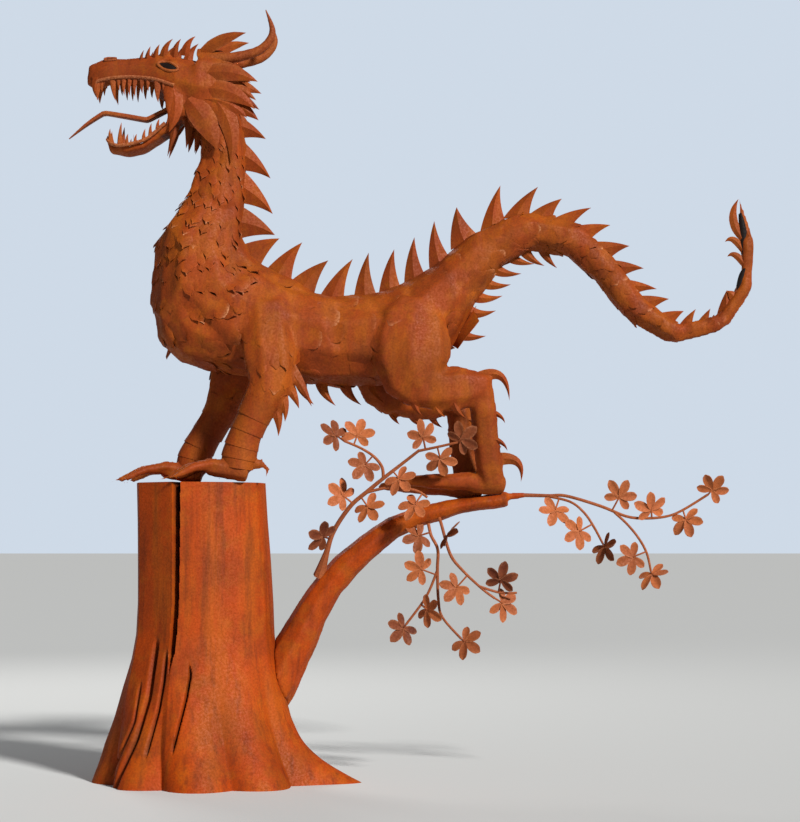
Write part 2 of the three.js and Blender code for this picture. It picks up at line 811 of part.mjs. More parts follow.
// Upright plates along the back: front corner, rear corner and tip, each as x and z
const DORSAL_PLATES = [
  [181, 4281, 215, 4117, 337, 4104],
  [224, 4104, 241, 3902, 368, 3847],
  [242, 3889, 210, 3681, 383, 3616],
  [214, 3668, 186, 3440, 398, 3479],
  [186, 3431, 324, 3272, 427, 3457],
  [328, 3269, 515, 3220, 574, 3432],
  [521, 3214, 673, 3107, 742, 3315],
  [682, 3104, 850, 3074, 899, 3324],
  [895, 3091, 1049, 3123, 1002, 3366],
  [1055, 3133, 1203, 3168, 1166, 3388],
  [1213, 3184, 1357, 3243, 1296, 3466],
  [1370, 3291, 1502, 3369, 1424, 3571],
  [1509, 3421, 1686, 3518, 1568, 3661],
  [1692, 3521, 1854, 3622, 1851, 3802],
  [1859, 3629, 2030, 3651, 2094, 3793],
  [2036, 3651, 2189, 3619, 2247, 3716],
  [2195, 3619, 2317, 3564, 2437, 3657],
  [2324, 3564, 2444, 3473, 2559, 3544],
  [2450, 3466, 2574, 3350, 2681, 3408],
  [2579, 3343, 2656, 3226, 2772, 3263],
  [2662, 3220, 2733, 3116, 2855, 3129],
  [2737, 3110, 2828, 3000, 2933, 3065],
  [2831, 2994, 2969, 2916, 3027, 2987],
  [2975, 2914, 3078, 2916, 3104, 3000],
  [3084, 2917, 3187, 2923, 3198, 3003],
  [3197, 2926, 3356, 3058, 3305, 3123],
];
const FIN_ROOT = 45;
const FIN_HALF_THICKNESS = 15;
const FIN_CUTS = 3;
const FIN_BOW = 0.11;
const FIN_NECK = 0.045;

// A line from a foot to a tip that bows towards the head
function bowed(foot, tip, bow) {
  const towardsHead = tip.clone().sub(foot).cross(SIDEWAYS).multiplyScalar(bow);
  return new THREE.QuadraticBezierCurve3(foot, foot.clone().lerp(tip, 0.5).add(towardsHead), tip);
}

function dorsalPlate([frontX, frontZ, rearX, rearZ, tipX, tipZ]) {
  const [front, rear, tip] = [point(frontX, 0, frontZ), point(rearX, 0, rearZ), point(tipX, 0, tipZ)];
  const base = rear.clone().sub(front);
  const outward = SIDEWAYS.clone().cross(base).normalize();
  if (outward.dot(tip.clone().sub(front)) < 0) outward.negate();
  front.addScaledVector(base, FIN_NECK).addScaledVector(outward, -FIN_ROOT);
  rear.addScaledVector(base, -FIN_NECK).addScaledVector(outward, -FIN_ROOT);
  const [lead, trail] = [bowed(front, tip, FIN_BOW), bowed(rear, tip, FIN_BOW)];
  const tube = new THREE.CylinderGeometry(1, 1, 1, 4, FIN_CUTS);
  const places = tube.attributes.position;
  const unit = new THREE.Vector3();
  for (let i = 0; i < places.count; i += 1) {
    unit.fromBufferAttribute(places, i);
    const share = 0.5 - unit.y;
    const place = trail.getPoint(share).lerp(lead.getPoint(share), 0.5 + 0.5 * unit.z);
    place.addScaledVector(SIDEWAYS, unit.x * FIN_HALF_THICKNESS * (1 - share));
    places.setXYZ(i, place.x, place.y, place.z);
  }
  const aim = tip.clone().sub(front).normalize().add(tip.clone().sub(rear).normalize());
  return { piece: solidOf(tube), outward: aim };
}

const UNDER_PLACES = [0.328, 0.348, 0.368, 0.388, 0.472, 0.492, 0.511, 0.53, 0.551, 0.574, 0.598, 0.622];
const UNDER_LENGTH = 150;
const UNDER_LEAN = 0.75;

function underPlate(place) {
  const { middle, along, outward, depth } = backAt(place);
  const down = outward.clone().negate();
  const heading = down.clone().multiplyScalar(Math.cos(UNDER_LEAN));
  heading.addScaledVector(along, Math.sin(UNDER_LEAN));
  const foot = middle.clone().addScaledVector(down, depth - 26);
  const tip = foot.clone().addScaledVector(down, 26).addScaledVector(heading, UNDER_LENGTH);
  const bend = foot.clone().addScaledVector(down, 70);
  return { piece: blade(foot, bend, tip, 44, 14, TUFT), outward: down };
}

function ear(side) {
  const root = point(-70, side * 80, 4650);
  const tip = point(216, side * 132, 4768);
  const bend = point(60, side * 112, 4760);
  return blade(root, bend, tip, 52, 16, FEATHER);
}

// Assembly

function rust(colour) {
  return new THREE.MeshStandardMaterial({ color: colour, roughness: 0.85, metalness: 0.35 });
}

const TREE_RUST = 0xb04c14;
const LEAF_RUST = 0xa85a2c;
const DRAGON_RUST = 0x94491f;
const PLATE_RUST = 0x8c4a28;

function twoDigits(number) {
  return String(number).padStart(2, "0");
}

const stump = makeStump();
const branch = clearOf(branchForm(0), swelled(stump));
const treeRoom = union([stump.translate([0, 0, WELD_GAP]), branchForm(WELD_GAP)]);
const body = dragonBody(treeRoom);

const tree = new THREE.Group();
tree.name = "tree";
tree.add(meshOf("tree_stump", stump, rust(TREE_RUST)));
tree.add(meshOf("tree_branch", branch, rust(TREE_RUST)));
const sprays = [
  ["upper", UPPER_TWIGS, UPPER_LEAVES],
  ["hanging_left", HANGING_LEFT_TWIGS, HANGING_LEFT_LEAVES],
  ["hanging_right", HANGING_RIGHT_TWIGS, HANGING_RIGHT_LEAVES],
  ["right", RIGHT_TWIGS, RIGHT_LEAVES],
];
sprays.forEach(([place, twigs, leaves]) => {
  tree.add(meshOf(`leaf_spray_${place}`, spray(twigs, leaves, treeRoom), rust(LEAF_RUST)));
});

const dragon = new THREE.Group();
dragon.name = "dragon";
dragon.add(meshOf("dragon_body", body, rust(DRAGON_RUST)));
dragon.add(meshOf("tongue", seat(limb(TONGUE, 5, 8), body, point(-1, 0, 0)), rust(DRAGON_RUST)));
[[-1, "left"], [1, "right"]].forEach(([side, word]) => {
  const horn = seat(limb(mirrored(HORN, side), 6, 7), body, point(1, side * 0.4, 0.6));
  const plume = clearOf(seat(ear(side), body, point(0.3, side * 0.8, 1)), swelled(horn));
  dragon.add(meshOf(`horn_${word}`, horn, rust(DRAGON_RUST)));
  dragon.add(meshOf(`ear_${word}`, plume, rust(PLATE_RUST)));
});

function addPlates(rows, name, shape) {
  rows.forEach((row, i) => {
    const { piece, outward } = shape(row);
    const plate = seat(piece, body, outward);
    dragon.add(meshOf(`${name}_${twoDigits(i + 1)}`, plate, rust(PLATE_RUST)));
  });
}
addPlates(DORSAL_PLATES, "dorsal_plate", dorsalPlate);
addPlates(UNDER_PLACES, "under_plate", underPlate);

const sculpture = new THREE.Group();
sculpture.name = "steel_dragon_on_tree_stump";
sculpture.add(tree, dragon);

export default sculpture;
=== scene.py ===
"""Dresses the steel dragon on its tree stump with forged plates, scales, leaves and rust."""

import math
import random

import bmesh
import bpy
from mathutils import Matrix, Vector, noise
from mathutils.bvhtree import BVHTree


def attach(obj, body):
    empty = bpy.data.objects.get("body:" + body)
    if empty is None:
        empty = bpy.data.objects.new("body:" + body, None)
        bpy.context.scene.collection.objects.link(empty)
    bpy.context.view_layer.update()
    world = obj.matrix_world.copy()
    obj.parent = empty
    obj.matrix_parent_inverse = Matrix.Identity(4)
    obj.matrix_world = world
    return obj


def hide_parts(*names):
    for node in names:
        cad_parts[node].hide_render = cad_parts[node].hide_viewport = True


bl_info = {
    "name": "Forged dragon on a tree stump",
    "version": (1, 0, 0),
    "blender": (4, 5, 0),
    "location": "View3D > Sidebar > Dragon",
    "description": "Builds the plates, scales, leaves and rust of a welded steel dragon",
    "category": "Object",
}

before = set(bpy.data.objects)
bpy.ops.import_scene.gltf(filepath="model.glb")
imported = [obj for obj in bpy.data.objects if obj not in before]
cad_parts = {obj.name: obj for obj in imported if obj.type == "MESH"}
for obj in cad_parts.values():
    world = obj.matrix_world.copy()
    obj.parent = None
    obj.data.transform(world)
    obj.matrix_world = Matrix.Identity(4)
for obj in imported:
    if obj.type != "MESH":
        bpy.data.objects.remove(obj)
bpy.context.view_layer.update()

SIDEWAYS = Vector((0.0, 1.0, 0.0))
SIDES = (-1.0, 1.0)


def mm(x, y, z):
    """A place given in millimetres."""
    return Vector((x, y, z)) * 0.001


def srgb(red, green, blue):
    """A colour read off a picture, 0 to 255, as the linear colour that a shader takes."""

    def linear(value):
        share = value / 255.0
        return share / 12.92 if share <= 0.04045 else ((share + 0.055) / 1.055) ** 2.4

    return (linear(red), linear(green), linear(blue), 1.0)


# Middle line of neck, trunk and tail in millimetres: x, z, half depth, half width
SPINE = (
    (45, 4330, 120, 105),
    (60, 4100, 152, 130),
    (58, 3935, 150, 132),
    (45, 3765, 168, 142),
    (-15, 3602, 222, 180),
    (-78, 3410, 276, 232),
    (-90, 3250, 320, 265),
    (5, 3010, 408, 292),
    (154, 2937, 372, 300),
    (350, 2868, 318, 295),
    (603, 2812, 298, 275),
    (850, 2788, 290, 255),
    (1120, 2815, 302, 255),
    (1290, 2890, 285, 245),
    (1420, 2990, 240, 212),
    (1537, 3140, 184, 178),
    (1645, 3275, 160, 152),
    (1790, 3405, 138, 134),
    (1910, 3475, 130, 122),
    (2110, 3508, 118, 110),
    (2290, 3460, 108, 100),
    (2420, 3370, 100, 92),
    (2510, 3270, 96, 86),
    (2675, 3045, 88, 78),
    (2785, 2935, 77, 70),
    (2950, 2845, 64, 60),
    (3105, 2843, 54, 50),
    (3220, 2885, 46, 42),
    (3335, 2980, 44, 38),
    (3415, 3110, 41, 34),
    (3452, 3300, 39, 30),
    (3432, 3500, 34, 24),
    (3388, 3718, 6, 5),
)

# Middle lines of the legs on one side: x, distance from the middle, z, half depth, half width
NEAR_FORELEG = (
    (335, 215, 3010, 150, 70),
    (360, 252, 2835, 172, 98),
    (385, 272, 2645, 176, 108),
    (382, 278, 2485, 138, 106),
    (300, 268, 2320, 110, 95),
    (235, 258, 2180, 103, 86),
    (195, 250, 2050, 110, 84),
    (180, 246, 1965, 98, 80),
)
FAR_FORELEG = (
    (290, 215, 3040, 150, 70),
    (235, 252, 2880, 175, 98),
    (155, 272, 2695, 205, 108),
    (105, 276, 2530, 162, 106),
    (30, 266, 2355, 112, 95),
    (-65, 256, 2190, 103, 86),
    (-135, 248, 2055, 108, 84),
    (-155, 244, 1965, 98, 80),
)
THIGH = (
    (1325, 170, 3030, 150, 60),
    (1282, 212, 2870, 245, 95),
    (1270, 232, 2710, 262, 114),
    (1290, 232, 2550, 222, 106),
    (1360, 222, 2405, 118, 74),
)
FAR_HIND_SHIFT = (-140, 0, -28)

# Crest plates: front corner, rear corner and tip, each as x and z
DORSAL_PLATES = (
    (181, 4281, 215, 4117, 337, 4104),
    (224, 4104, 241, 3902, 368, 3847),
    (242, 3889, 210, 3681, 383, 3616),
    (214, 3668, 186, 3440, 398, 3479),
    (186, 3431, 324, 3272, 427, 3457),
    (328, 3269, 515, 3220, 574, 3432),
    (521, 3214, 673, 3107, 742, 3315),
    (682, 3104, 850, 3074, 899, 3324),
    (895, 3091, 1049, 3123, 1002, 3366),
    (1055, 3133, 1203, 3168, 1166, 3388),
    (1213, 3184, 1357, 3243, 1296, 3466),
    (1370, 3291, 1502, 3369, 1424, 3571),
    (1509, 3421, 1686, 3518, 1568, 3661),
    (1692, 3521, 1854, 3622, 1851, 3802),
    (1859, 3629, 2030, 3651, 2094, 3793),
    (2036, 3651, 2189, 3619, 2247, 3716),
    (2195, 3619, 2317, 3564, 2437, 3657),
    (2324, 3564, 2444, 3473, 2559, 3544),
    (2450, 3466, 2574, 3350, 2681, 3408),
    (2579, 3343, 2656, 3226, 2772, 3263),
    (2662, 3220, 2733, 3116, 2855, 3129),
    (2737, 3110, 2828, 3000, 2933, 3065),
    (2831, 2994, 2969, 2916, 3027, 2987),
    (2975, 2914, 3078, 2916, 3104, 3000),
    (3084, 2917, 3187, 2923, 3198, 3003),
    (3197, 2926, 3356, 3058, 3305, 3123),
)
UNDER_PLATES = (0.328, 0.348, 0.368, 0.388, 0.472, 0.492, 0.511, 0.53, 0.551, 0.574, 0.598, 0.622)

# Plates of the tail's end: root x and z, bend x and z, tip x and z, half width
TAIL_CURLS = (
    (3404, 3450, 3300, 3590, 3384, 3712, 30),
    (3412, 3362, 3352, 3490, 3292, 3432, 24),
    (3432, 3252, 3362, 3390, 3306, 3336, 24),
    (3372, 3050, 3340, 3085, 3306, 3117, 34),
)

# Head plates on each side: root x and z, bend x and z, tip x and z, half width, distances from the middle
BROW_PLATES = (
    (-470, 4598, -462, 4640, -448, 4672, 13, 62, 64),
    (-430, 4600, -420, 4655, -405, 4696, 18, 66, 70),
    (-375, 4608, -368, 4665, -345, 4706, 22, 74, 80),
    (-318, 4614, -318, 4690, -258, 4740, 30, 82, 88),
    (-250, 4620, -245, 4690, -206, 4738, 27, 88, 94),
    (-180, 4632, -175, 4710, -112, 4754, 34, 92, 98),
)
MANE_PLATES = (
    (-40, 4560, 100, 4566, 228, 4506, 34, 112, 134),
    (-80, 4490, 110, 4535, 295, 4440, 62, 150, 172),
    (0, 4440, 150, 4440, 284, 4326, 44, 132, 140),
    (-60, 4395, 120, 4415, 277, 4263, 66, 158, 174),
    (-40, 4330, 110, 4330, 226, 4212, 52, 150, 150),
    (-20, 4370, 175, 4200, 122, 3910, 66, 150, 150),
    (-150, 4330, -10, 4180, 39, 3994, 84, 158, 178),
)
CHIN_PLATES = (
    (-235, 4210, -262, 4090, -295, 3982, 28, 40, 40),
    (-150, 4230, -150, 4120, -172, 4028, 36, 70, 70),
    (-90, 4230, -95, 4110, -122, 4008, 36, 30, 30),
)
CHEEK_PLATE = (-262, 4450, -196, 4270, -276, 4118, 52, 150, 140)
LIP_FANG = (-720, 4530, -785, 4450, -756, 4368, 38, 48, 40)

# Teeth: x of the root, z of the root, x of the tip, z of the tip, half width
UPPER_TEETH = (
    (-735, 4470, -746, 4346, 20),
    (-710, 4480, -716, 4398, 13),
    (-648, 4500, -628, 4340, 22),
    (-604, 4500, -602, 4402, 14),
    (-570, 4500, -570, 4372, 16),
    (-532, 4498, -535, 4368, 15),
    (-496, 4495, -501, 4360, 15),
    (-452, 4490, -452, 4380, 16),
    (-410, 4482, -412, 4394, 15),
    (-348, 4468, -347, 4318, 26),
    (-304, 4455, -306, 4372, 16),
)
LOWER_TEETH = (
    (-676, 4085, -680, 4124, 9),
    (-658, 4066, -664, 4165, 14),
    (-594, 4036, -587, 4200, 18),
    (-548, 4038, -543, 4125, 14),
    (-494, 4048, -486, 4120, 13),
    (-438, 4068, -430, 4152, 14),
    (-394, 4095, -390, 4186, 14),
    (-348, 4138, -339, 4214, 14),
)

# Side of the snout, and rims of the two jaws: x, distance from the middle, z, half height, half thickness
SNOUT_SIDE = (
    (-768, 40, 4478, 34, 14),
    (-700, 66, 4520, 44, 14),
    (-610, 74, 4526, 44, 14),
    (-480, 88, 4526, 44, 14),
    (-360, 116, 4508, 46, 16),
    (-240, 152, 4470, 50, 18),
)
UPPER_RIM = (
    (-778, 38, 4438, 12, 14),
    (-730, 64, 4474, 12, 14),
    (-610, 82, 4490, 12, 14),
    (-480, 97, 4488, 12, 14),
    (-360, 126, 4466, 12, 14),
    (-240, 162, 4420, 12, 14),
)
LOWER_RIM = (
    (-684, 24, 4098, 12, 13),
    (-655, 56, 4064, 12, 13),
    (-595, 84, 4046, 12, 13),
    (-495, 104, 4060, 12, 13),
    (-410, 118, 4090, 12, 13),
    (-300, 136, 4182, 12, 13),
)
# Openings shown as dark sheets of painted shade: middle x and z, half length, half height, slope
EYE = (-283, 4547, 68, 29, -0.3)
NOSTRIL = (-668, 4612, 36, 14, -0.1)

# Horn, ear and tongue: x, y, z, half depth, half width
HORN = (
    (-20, 80, 4600, 40, 38),
    (180, 92, 4625, 33, 32),
    (315, 105, 4672, 28, 27),
    (383, 115, 4775, 21, 20),
    (340, 120, 4920, 3, 3),
)
TONGUE = (
    (-240, 0, 4326, 15, 42),
    (-405, 0, 4240, 15, 42),
    (-425, 0, 4232, 15, 42),
    (-447, 0, 4230, 15, 42),
    (-560, 0, 4250, 15, 38),
    (-680, 0, 4270, 14, 35),
    (-705, 0, 4270, 14, 33),
    (-728, 0, 4262, 13, 31),
    (-820, 0, 4200, 11, 22),
    (-935, 0, 4105, 3, 5),
)

# Plates behind the elbow and the hock: root x and z, bend x and z, tip x and z, half width
ELBOW_PLATES = (
    (400, 2400, 455, 2290, 440, 2166, 46),
    (430, 2470, 500, 2370, 482, 2256, 46),
    (455, 2550, 540, 2440, 570, 2340, 48),
    (480, 2620, 590, 2500, 650, 2352, 48),
)
HOCK_PLATES = (
    (1690, 2530, 1880, 2640, 1894, 2396, 40),
    (1750, 2330, 1850, 2320, 1868, 2255, 22),
    (1760, 2160, 1860, 2150, 1882, 2080, 22),
    (1780, 2020, 2005, 2080, 1970, 1886, 42),
)
SHANK_TUFTS = (
    (1190, 2560, 1150, 2440, 1230, 2370, 40),
    (1290, 2460, 1270, 2360, 1340, 2300, 38),
    (1420, 2420, 1410, 2320, 1490, 2290, 36),
    (1540, 2410, 1540, 2320, 1620, 2280, 34),
)

# Twigs of each spray as x, y, z and radius, and the middles of its leaves
SPRAYS = {
    "leaf_spray_upper": (
        (
            (
                (690, -30, 1290, 40),
                (738, -95, 1440, 19),
                (785, -140, 1575, 15),
                (890, -180, 1730, 14),
                (1000, -205, 1825, 13),
                (1105, -225, 1910, 12),
                (1325, -262, 2080, 9),
            ),
            (
                (1098, -224, 1905, 10),
                (1090, -232, 1975, 10),
                (1040, -238, 2040, 9),
                (960, -242, 2092, 8),
                (850, -246, 2140, 8),
            ),
            ((985, -203, 1815, 10), (1130, -225, 1845, 9), (1295, -235, 1830, 9), (1375, -240, 1785, 8)),
            ((1318, -262, 2075, 9), (1450, -282, 2102, 8), (1565, -296, 2128, 8)),
        ),
        (
            (800, -262, 2172),
            (935, -228, 2178),
            (985, -262, 1990),
            (845, -212, 1795),
            (1000, -238, 1728),
            (718, -172, 1540),
            (1195, -258, 1905),
            (1300, -262, 1742),
            (1345, -288, 2160),
            (1455, -262, 2030),
            (1585, -308, 2145),
        ),
    ),
    "leaf_spray_hanging_right": (
        (
            (
                (1440, -20, 1690, 11),
                (1462, -75, 1630, 10),
                (1520, -112, 1430, 10),
                (1600, -118, 1325, 9),
                (1720, -120, 1212, 8),
                (1800, -120, 1152, 8),
            ),
            ((1700, -120, 1228, 8), (1830, -124, 1188, 8), (1940, -126, 1186, 7)),
        ),
        ((1505, -142, 1548), (1560, -150, 1222), (1838, -152, 1268), (1850, -100, 1120)),
    ),
    "leaf_spray_hanging_left": (
        (
            (
                (1375, -10, 1680, 11),
                (1398, -50, 1555, 10),
                (1442, -66, 1460, 10),
                (1440, -70, 1330, 10),
                (1446, -74, 1140, 9),
                (1472, -78, 1030, 8),
                (1590, -84, 895, 8),
            ),
            ((1441, -70, 1330, 9), (1368, -80, 1160, 8), (1240, -86, 985, 8)),
        ),
        ((1325, -70, 1545), (1335, -100, 1335), (1375, -112, 1082), (1225, -96, 968), (1610, -96, 882)),
    ),
    "leaf_spray_right": (
        (
            (
                (1990, 0, 1805, 13),
                (2150, -8, 1801, 11),
                (2265, -14, 1799, 10),
                (2480, -20, 1735, 10),
                (2650, -24, 1668, 9),
                (2780, -26, 1657, 9),
                (2905, -28, 1670, 8),
                (3005, -30, 1710, 8),
                (3165, -34, 1808, 8),
            ),
            (
                (2570, -22, 1695, 9),
                (2650, -34, 1618, 8),
                (2720, -44, 1530, 8),
                (2770, -50, 1435, 8),
                (2795, -54, 1320, 7),
            ),
            (
                (2155, -8, 1797, 9),
                (2290, -40, 1760, 8),
                (2375, -54, 1690, 8),
                (2435, -62, 1600, 8),
                (2490, -68, 1495, 7),
            ),
        ),
        (
            (2190, -62, 1712),
            (2340, -92, 1575),
            (2498, -84, 1478),
            (2680, -74, 1412),
            (2800, -72, 1305),
            (2600, -44, 1795),
            (2800, -52, 1712),
            (3020, -52, 1652),
            (3188, -46, 1838),
        ),
    ),
}
LEAFLET_TURNS = (-2.05, -1.05, 0.0, 1.05, 2.05)
LEAFLET_REACHES = (0.8, 0.96, 1.0, 0.96, 0.8)

# Trunk from the ground up: height, half width, half depth, middle
TRUNK = (
    (0, 690, 640, 0),
    (60, 668, 622, -8),
    (140, 636, 590, -20),
    (245, 600, 545, -35),
    (400, 545, 492, -45),
    (590, 500, 455, -48),
    (770, 458, 425, -42),
    (920, 436, 402, -38),
    (1120, 428, 392, -38),
    (1380, 420, 384, -48),
    (1640, 410, 376, -60),
    (1880, 405, 370, -70),
)
STUMP_HEIGHT = 1880
# Panels of the trunk: the turn at which each begins, and how flat it is
TRUNK_PANELS = ((-2.62, 0.85), (-1.9, 0.4), (-0.45, 0.0), (0.5, 0.45), (1.35, 0.5), (2.15, 0.5), (2.85, 0.8))
# Creases in the foot of the trunk: half width, depth, and places as x and z
CREASES = (
    (13, 75, ((-309, 905), (-330, 720), (-349, 548), (-420, 300), (-527, 58), (-545, 0))),
    (9, 45, ((-241, 838), (-255, 640), (-281, 476), (-334, 270), (-352, 200))),
    (7, 42, ((-100, 760), (-87, 690), (-110, 540), (-140, 409), (-181, 228))),
    (8, 40, ((-405, 640), (-440, 400), (-540, 170), (-600, 60))),
)

# Dark strip painted as the shade in the hollow side of the tail's end: x, z, half height
TAIL_CHANNEL = (
    (3376, 3078, 14),
    (3388, 3141, 22),
    (3404, 3215, 20),
    (3424, 3270, 14),
    (3420, 3330, 14),
    (3414, 3400, 18),
    (3416, 3470, 22),
    (3404, 3560, 16),
    (3394, 3620, 6),
)

# Outlines of forged plates as shares of the half width, from root to tip
FIN = (1.0, 0.9, 0.67, 0.36, 0.0)
FEATHER = (0.55, 0.95, 0.92, 0.58, 0.0)
SPUR = (1.0, 0.84, 0.6, 0.32, 0.0)
RIM = 0.0025
FIN_ROOT = 0.045
FIN_BOW = 0.11


class DragonSizes(bpy.types.PropertyGroup):
    """Sizes of the dragon's metalwork."""

    skin_voxel: bpy.props.FloatProperty(
        name="Skin voxel", description="Grain of the hammered skin", default=0.013, unit="LENGTH"
    )
    dent_depth: bpy.props.FloatProperty(
        name="Dent depth", description="Depth of the hammer dents", default=0.005, unit="LENGTH"
    )
    scale_length: bpy.props.FloatProperty(
        name="Scale length", description="Length of a scale on the chest", default=0.17, unit="LENGTH"
    )
    scale_thickness: bpy.props.FloatProperty(
        name="Scale thickness", description="Thickness of a scale's sheet", default=0.004, unit="LENGTH"
    )
    plate_thickness: bpy.props.FloatProperty(
        name="Plate fold", description="Height of the fold on a crest plate", default=0.027, unit="LENGTH"
    )


class TreeSizes(bpy.types.PropertyGroup):
    """Sizes of the stump, the branch and the leaves."""

    skin_voxel: bpy.props.FloatProperty(
        name="Skin voxel", description="Grain of the branch's skin", default=0.01, unit="LENGTH"
    )
    slit_depth: bpy.props.FloatProperty(
        name="Slit depth", description="Depth of the slit in the stump", default=0.12, unit="LENGTH"
    )
    leaf_reach: bpy.props.FloatProperty(
        name="Leaf reach", description="From a leaf's middle to its tip", default=0.122, unit="LENGTH"
    )
    leaf_thickness: bpy.props.FloatProperty(
        name="Leaf thickness", description="Thickness of a leaf's sheet", default=0.004, unit="LENGTH"
    )


class RustColours(bpy.types.PropertyGroup):
    """Colours of the weathered steel."""

    bright: bpy.props.FloatVectorProperty(
        name="Bright rust",
        description="Orange rust of the stump",
        subtype="COLOR",
        size=4,
        default=srgb(168, 62, 2),
    )
    brown: bpy.props.FloatVectorProperty(
        name="Brown rust",
        description="Brown rust of the dragon",
        subtype="COLOR",
        size=4,
        default=srgb(150, 62, 14),
    )
    ochre: bpy.props.FloatVectorProperty(
        name="Ochre",
        description="Yellow brown bloom",
        subtype="COLOR",
        size=4,
        default=srgb(172, 92, 14),
    )
    # Dark rust of streaks and mottling, and also the painted shade inside the mouth, on shaded leaves and on
    # the chin plates.
    dark: bpy.props.FloatVectorProperty(
        name="Dark rust",
        description="Dark rust in hollows",
        subtype="COLOR",
        size=4,
        default=srgb(78, 30, 14),
    )
    leaf: bpy.props.FloatVectorProperty(
        name="Leaf rust",
        description="Rust of the leaves",
        subtype="COLOR",
        size=4,
        default=srgb(176, 96, 56),
    )
    # Painted shade and dark streaks: the black brown painted as shade into the stump's slit and creases, the
    # eye and nostril sheets and the tail's hollow side; on the stump it also gives the dark streaks and
    # mottling.
    painted_shade_and_streaks: bpy.props.FloatVectorProperty(
        name="Painted shade and streaks",
        description="Black brown of the slits and hollows",
        subtype="COLOR",
        size=4,
        default=srgb(24, 13, 9),
    )
    pale: bpy.props.FloatVectorProperty(
        name="Worn edge",
        description="Pale worn edges",
        subtype="COLOR",
        size=4,
        default=srgb(204, 142, 100),
    )


class StudioSettings(bpy.types.PropertyGroup):
    """Camera and light."""

    eye_height: bpy.props.FloatProperty(
        name="Eye height", description="Height of the camera", default=1.48, unit="LENGTH"
    )
    distance: bpy.props.FloatProperty(
        name="Distance",
        description="From the camera to the dragon's middle plane",
        default=13.0,
        unit="LENGTH",
    )
    aside: bpy.props.FloatProperty(
        name="Aside", description="Camera's place along the dragon", default=1.203, unit="LENGTH"
    )
    pitch: bpy.props.FloatProperty(
        name="Pitch", description="How far the camera looks up", default=math.radians(3.8), subtype="ANGLE"
    )
    focal_length: bpy.props.FloatProperty(
        name="Lens", description="Focal length on a 36 mm sensor", default=89.1
    )
    key_power: bpy.props.FloatProperty(
        name="Key light", description="Strength of the main light", default=4.6
    )
    room_light: bpy.props.FloatProperty(
        name="Room light", description="Strength of the light from all round", default=0.13
    )


# Lines and sections


def through(points, share):
    """A smooth line through points, read at a share of its spans from 0 to 1."""
    spans = len(points) - 1
    place = min(max(share, 0.0), 1.0) * spans
    first = min(int(place), spans - 1)
    step = place - first
    before, start, end, after = (points[min(max(first + k, 0), spans)] for k in (-1, 0, 1, 2))
    slope = (end - before) * 0.5
    next_slope = (after - start) * 0.5
    bow = (end - start) * 3.0 - slope * 2.0 - next_slope
    turn = (start - end) * 2.0 + slope + next_slope
    return start + (slope + (bow + turn * step) * step) * step


def bezier(root, bend, tip):
    """A line from root to tip, drawn towards bend."""
    return lambda t: root * (1 - t) ** 2 + bend * (2 * t * (1 - t)) + tip * t**2


class Route:
    """A limb's middle line with its half depth and half width."""

    def __init__(self, rows, side=1.0, shift=(0, 0, 0)):
        moved = [mm(x + shift[0], side * y + shift[1], z + shift[2]) for x, y, z, _, _ in rows]
        self.points = moved
        self.sizes = [mm(depth, width, 0) for _, _, _, depth, width in rows]
        self.length = sum((b - a).length for a, b in zip(moved, moved[1:]))
        steps = [through(moved, k / 600) for k in range(601)]
        self.marks = [0.0]
        for here, there in zip(steps, steps[1:]):
            self.marks.append(self.marks[-1] + (there - here).length)

    def share_at(self, part):
        """The share of the spans at which a part of the length is reached."""
        wanted = part * self.marks[-1]
        after = next(k for k, mark in enumerate(self.marks) if mark >= wanted)
        return after / 600

    def within(self, place, room):
        """Whether a place lies inside the limb, grown by a factor."""
        for k in range(25):
            middle = through(self.points, k / 24)
            size = through(self.sizes, k / 24)
            off = place - middle
            if math.hypot(off.x / size.x, off.z / size.x, off.y / size.y) < room:
                return True
        return False

    def at(self, share):
        """Middle, heading, outward direction and half sizes at a share of the line."""
        middle = through(self.points, share)
        heading = (through(self.points, share + 0.004) - through(self.points, share - 0.004)).normalized()
        outward = heading.cross(SIDEWAYS).normalized()
        size = through(self.sizes, share)
        return middle, heading, outward, size.x, size.y


def spine_route():
    return Route([(x, 0, z, depth, width) for x, z, depth, width in SPINE])


# Mesh helpers


def new_layers(bm):
    """The two numbers that a plate carries for its rust: its own tone, which also carries painted shade in
    slits, hollows, the mouth and shaded leaves, and wear along its rim.
    """
    return bm.verts.layers.float.new("tone"), bm.verts.layers.float.new("wear")


def join(bm, part):
    """Adds a finished part to a bigger mesh."""
    passing = bpy.data.meshes.new("part")
    part.to_mesh(passing)
    part.free()
    bm.from_mesh(passing)
    bpy.data.meshes.remove(passing)


def sweep(line, section, sides, rings, flat=SIDEWAYS):
    """A closed tube whose rings stand on a line. The section gives in-plane and sideways offsets."""
    part = bmesh.new()
    bmesh.ops.create_cone(part, cap_ends=True, segments=sides, radius1=1.0, radius2=1.0, depth=1.0)
    upright = [e for e in part.edges if abs(e.verts[0].co.z - e.verts[1].co.z) > 0.5]
    bmesh.ops.subdivide_edges(part, edges=upright, cuts=rings - 2, use_grid_fill=True)
    for vert in part.verts:
        share = min(max(vert.co.z + 0.5, 0.0), 1.0)
        angle = math.atan2(vert.co.y, vert.co.x)
        heading = (line(min(share + 0.01, 1.0)) - line(max(share - 0.01, 0.0))).normalized()
        normal = flat.cross(heading).normalized()
        across, aside = section(share, angle)
        vert.co = line(share) + normal * across + heading.cross(normal) * aside
    bmesh.ops.remove_doubles(part, verts=part.verts, dist=0.0002)
    return part


def outline_at(outline, share):
    place = share * (len(outline) - 1)
    first = min(int(place), len(outline) - 2)
    step = place - first
    return outline[first] * (1 - step) + outline[first + 1] * step


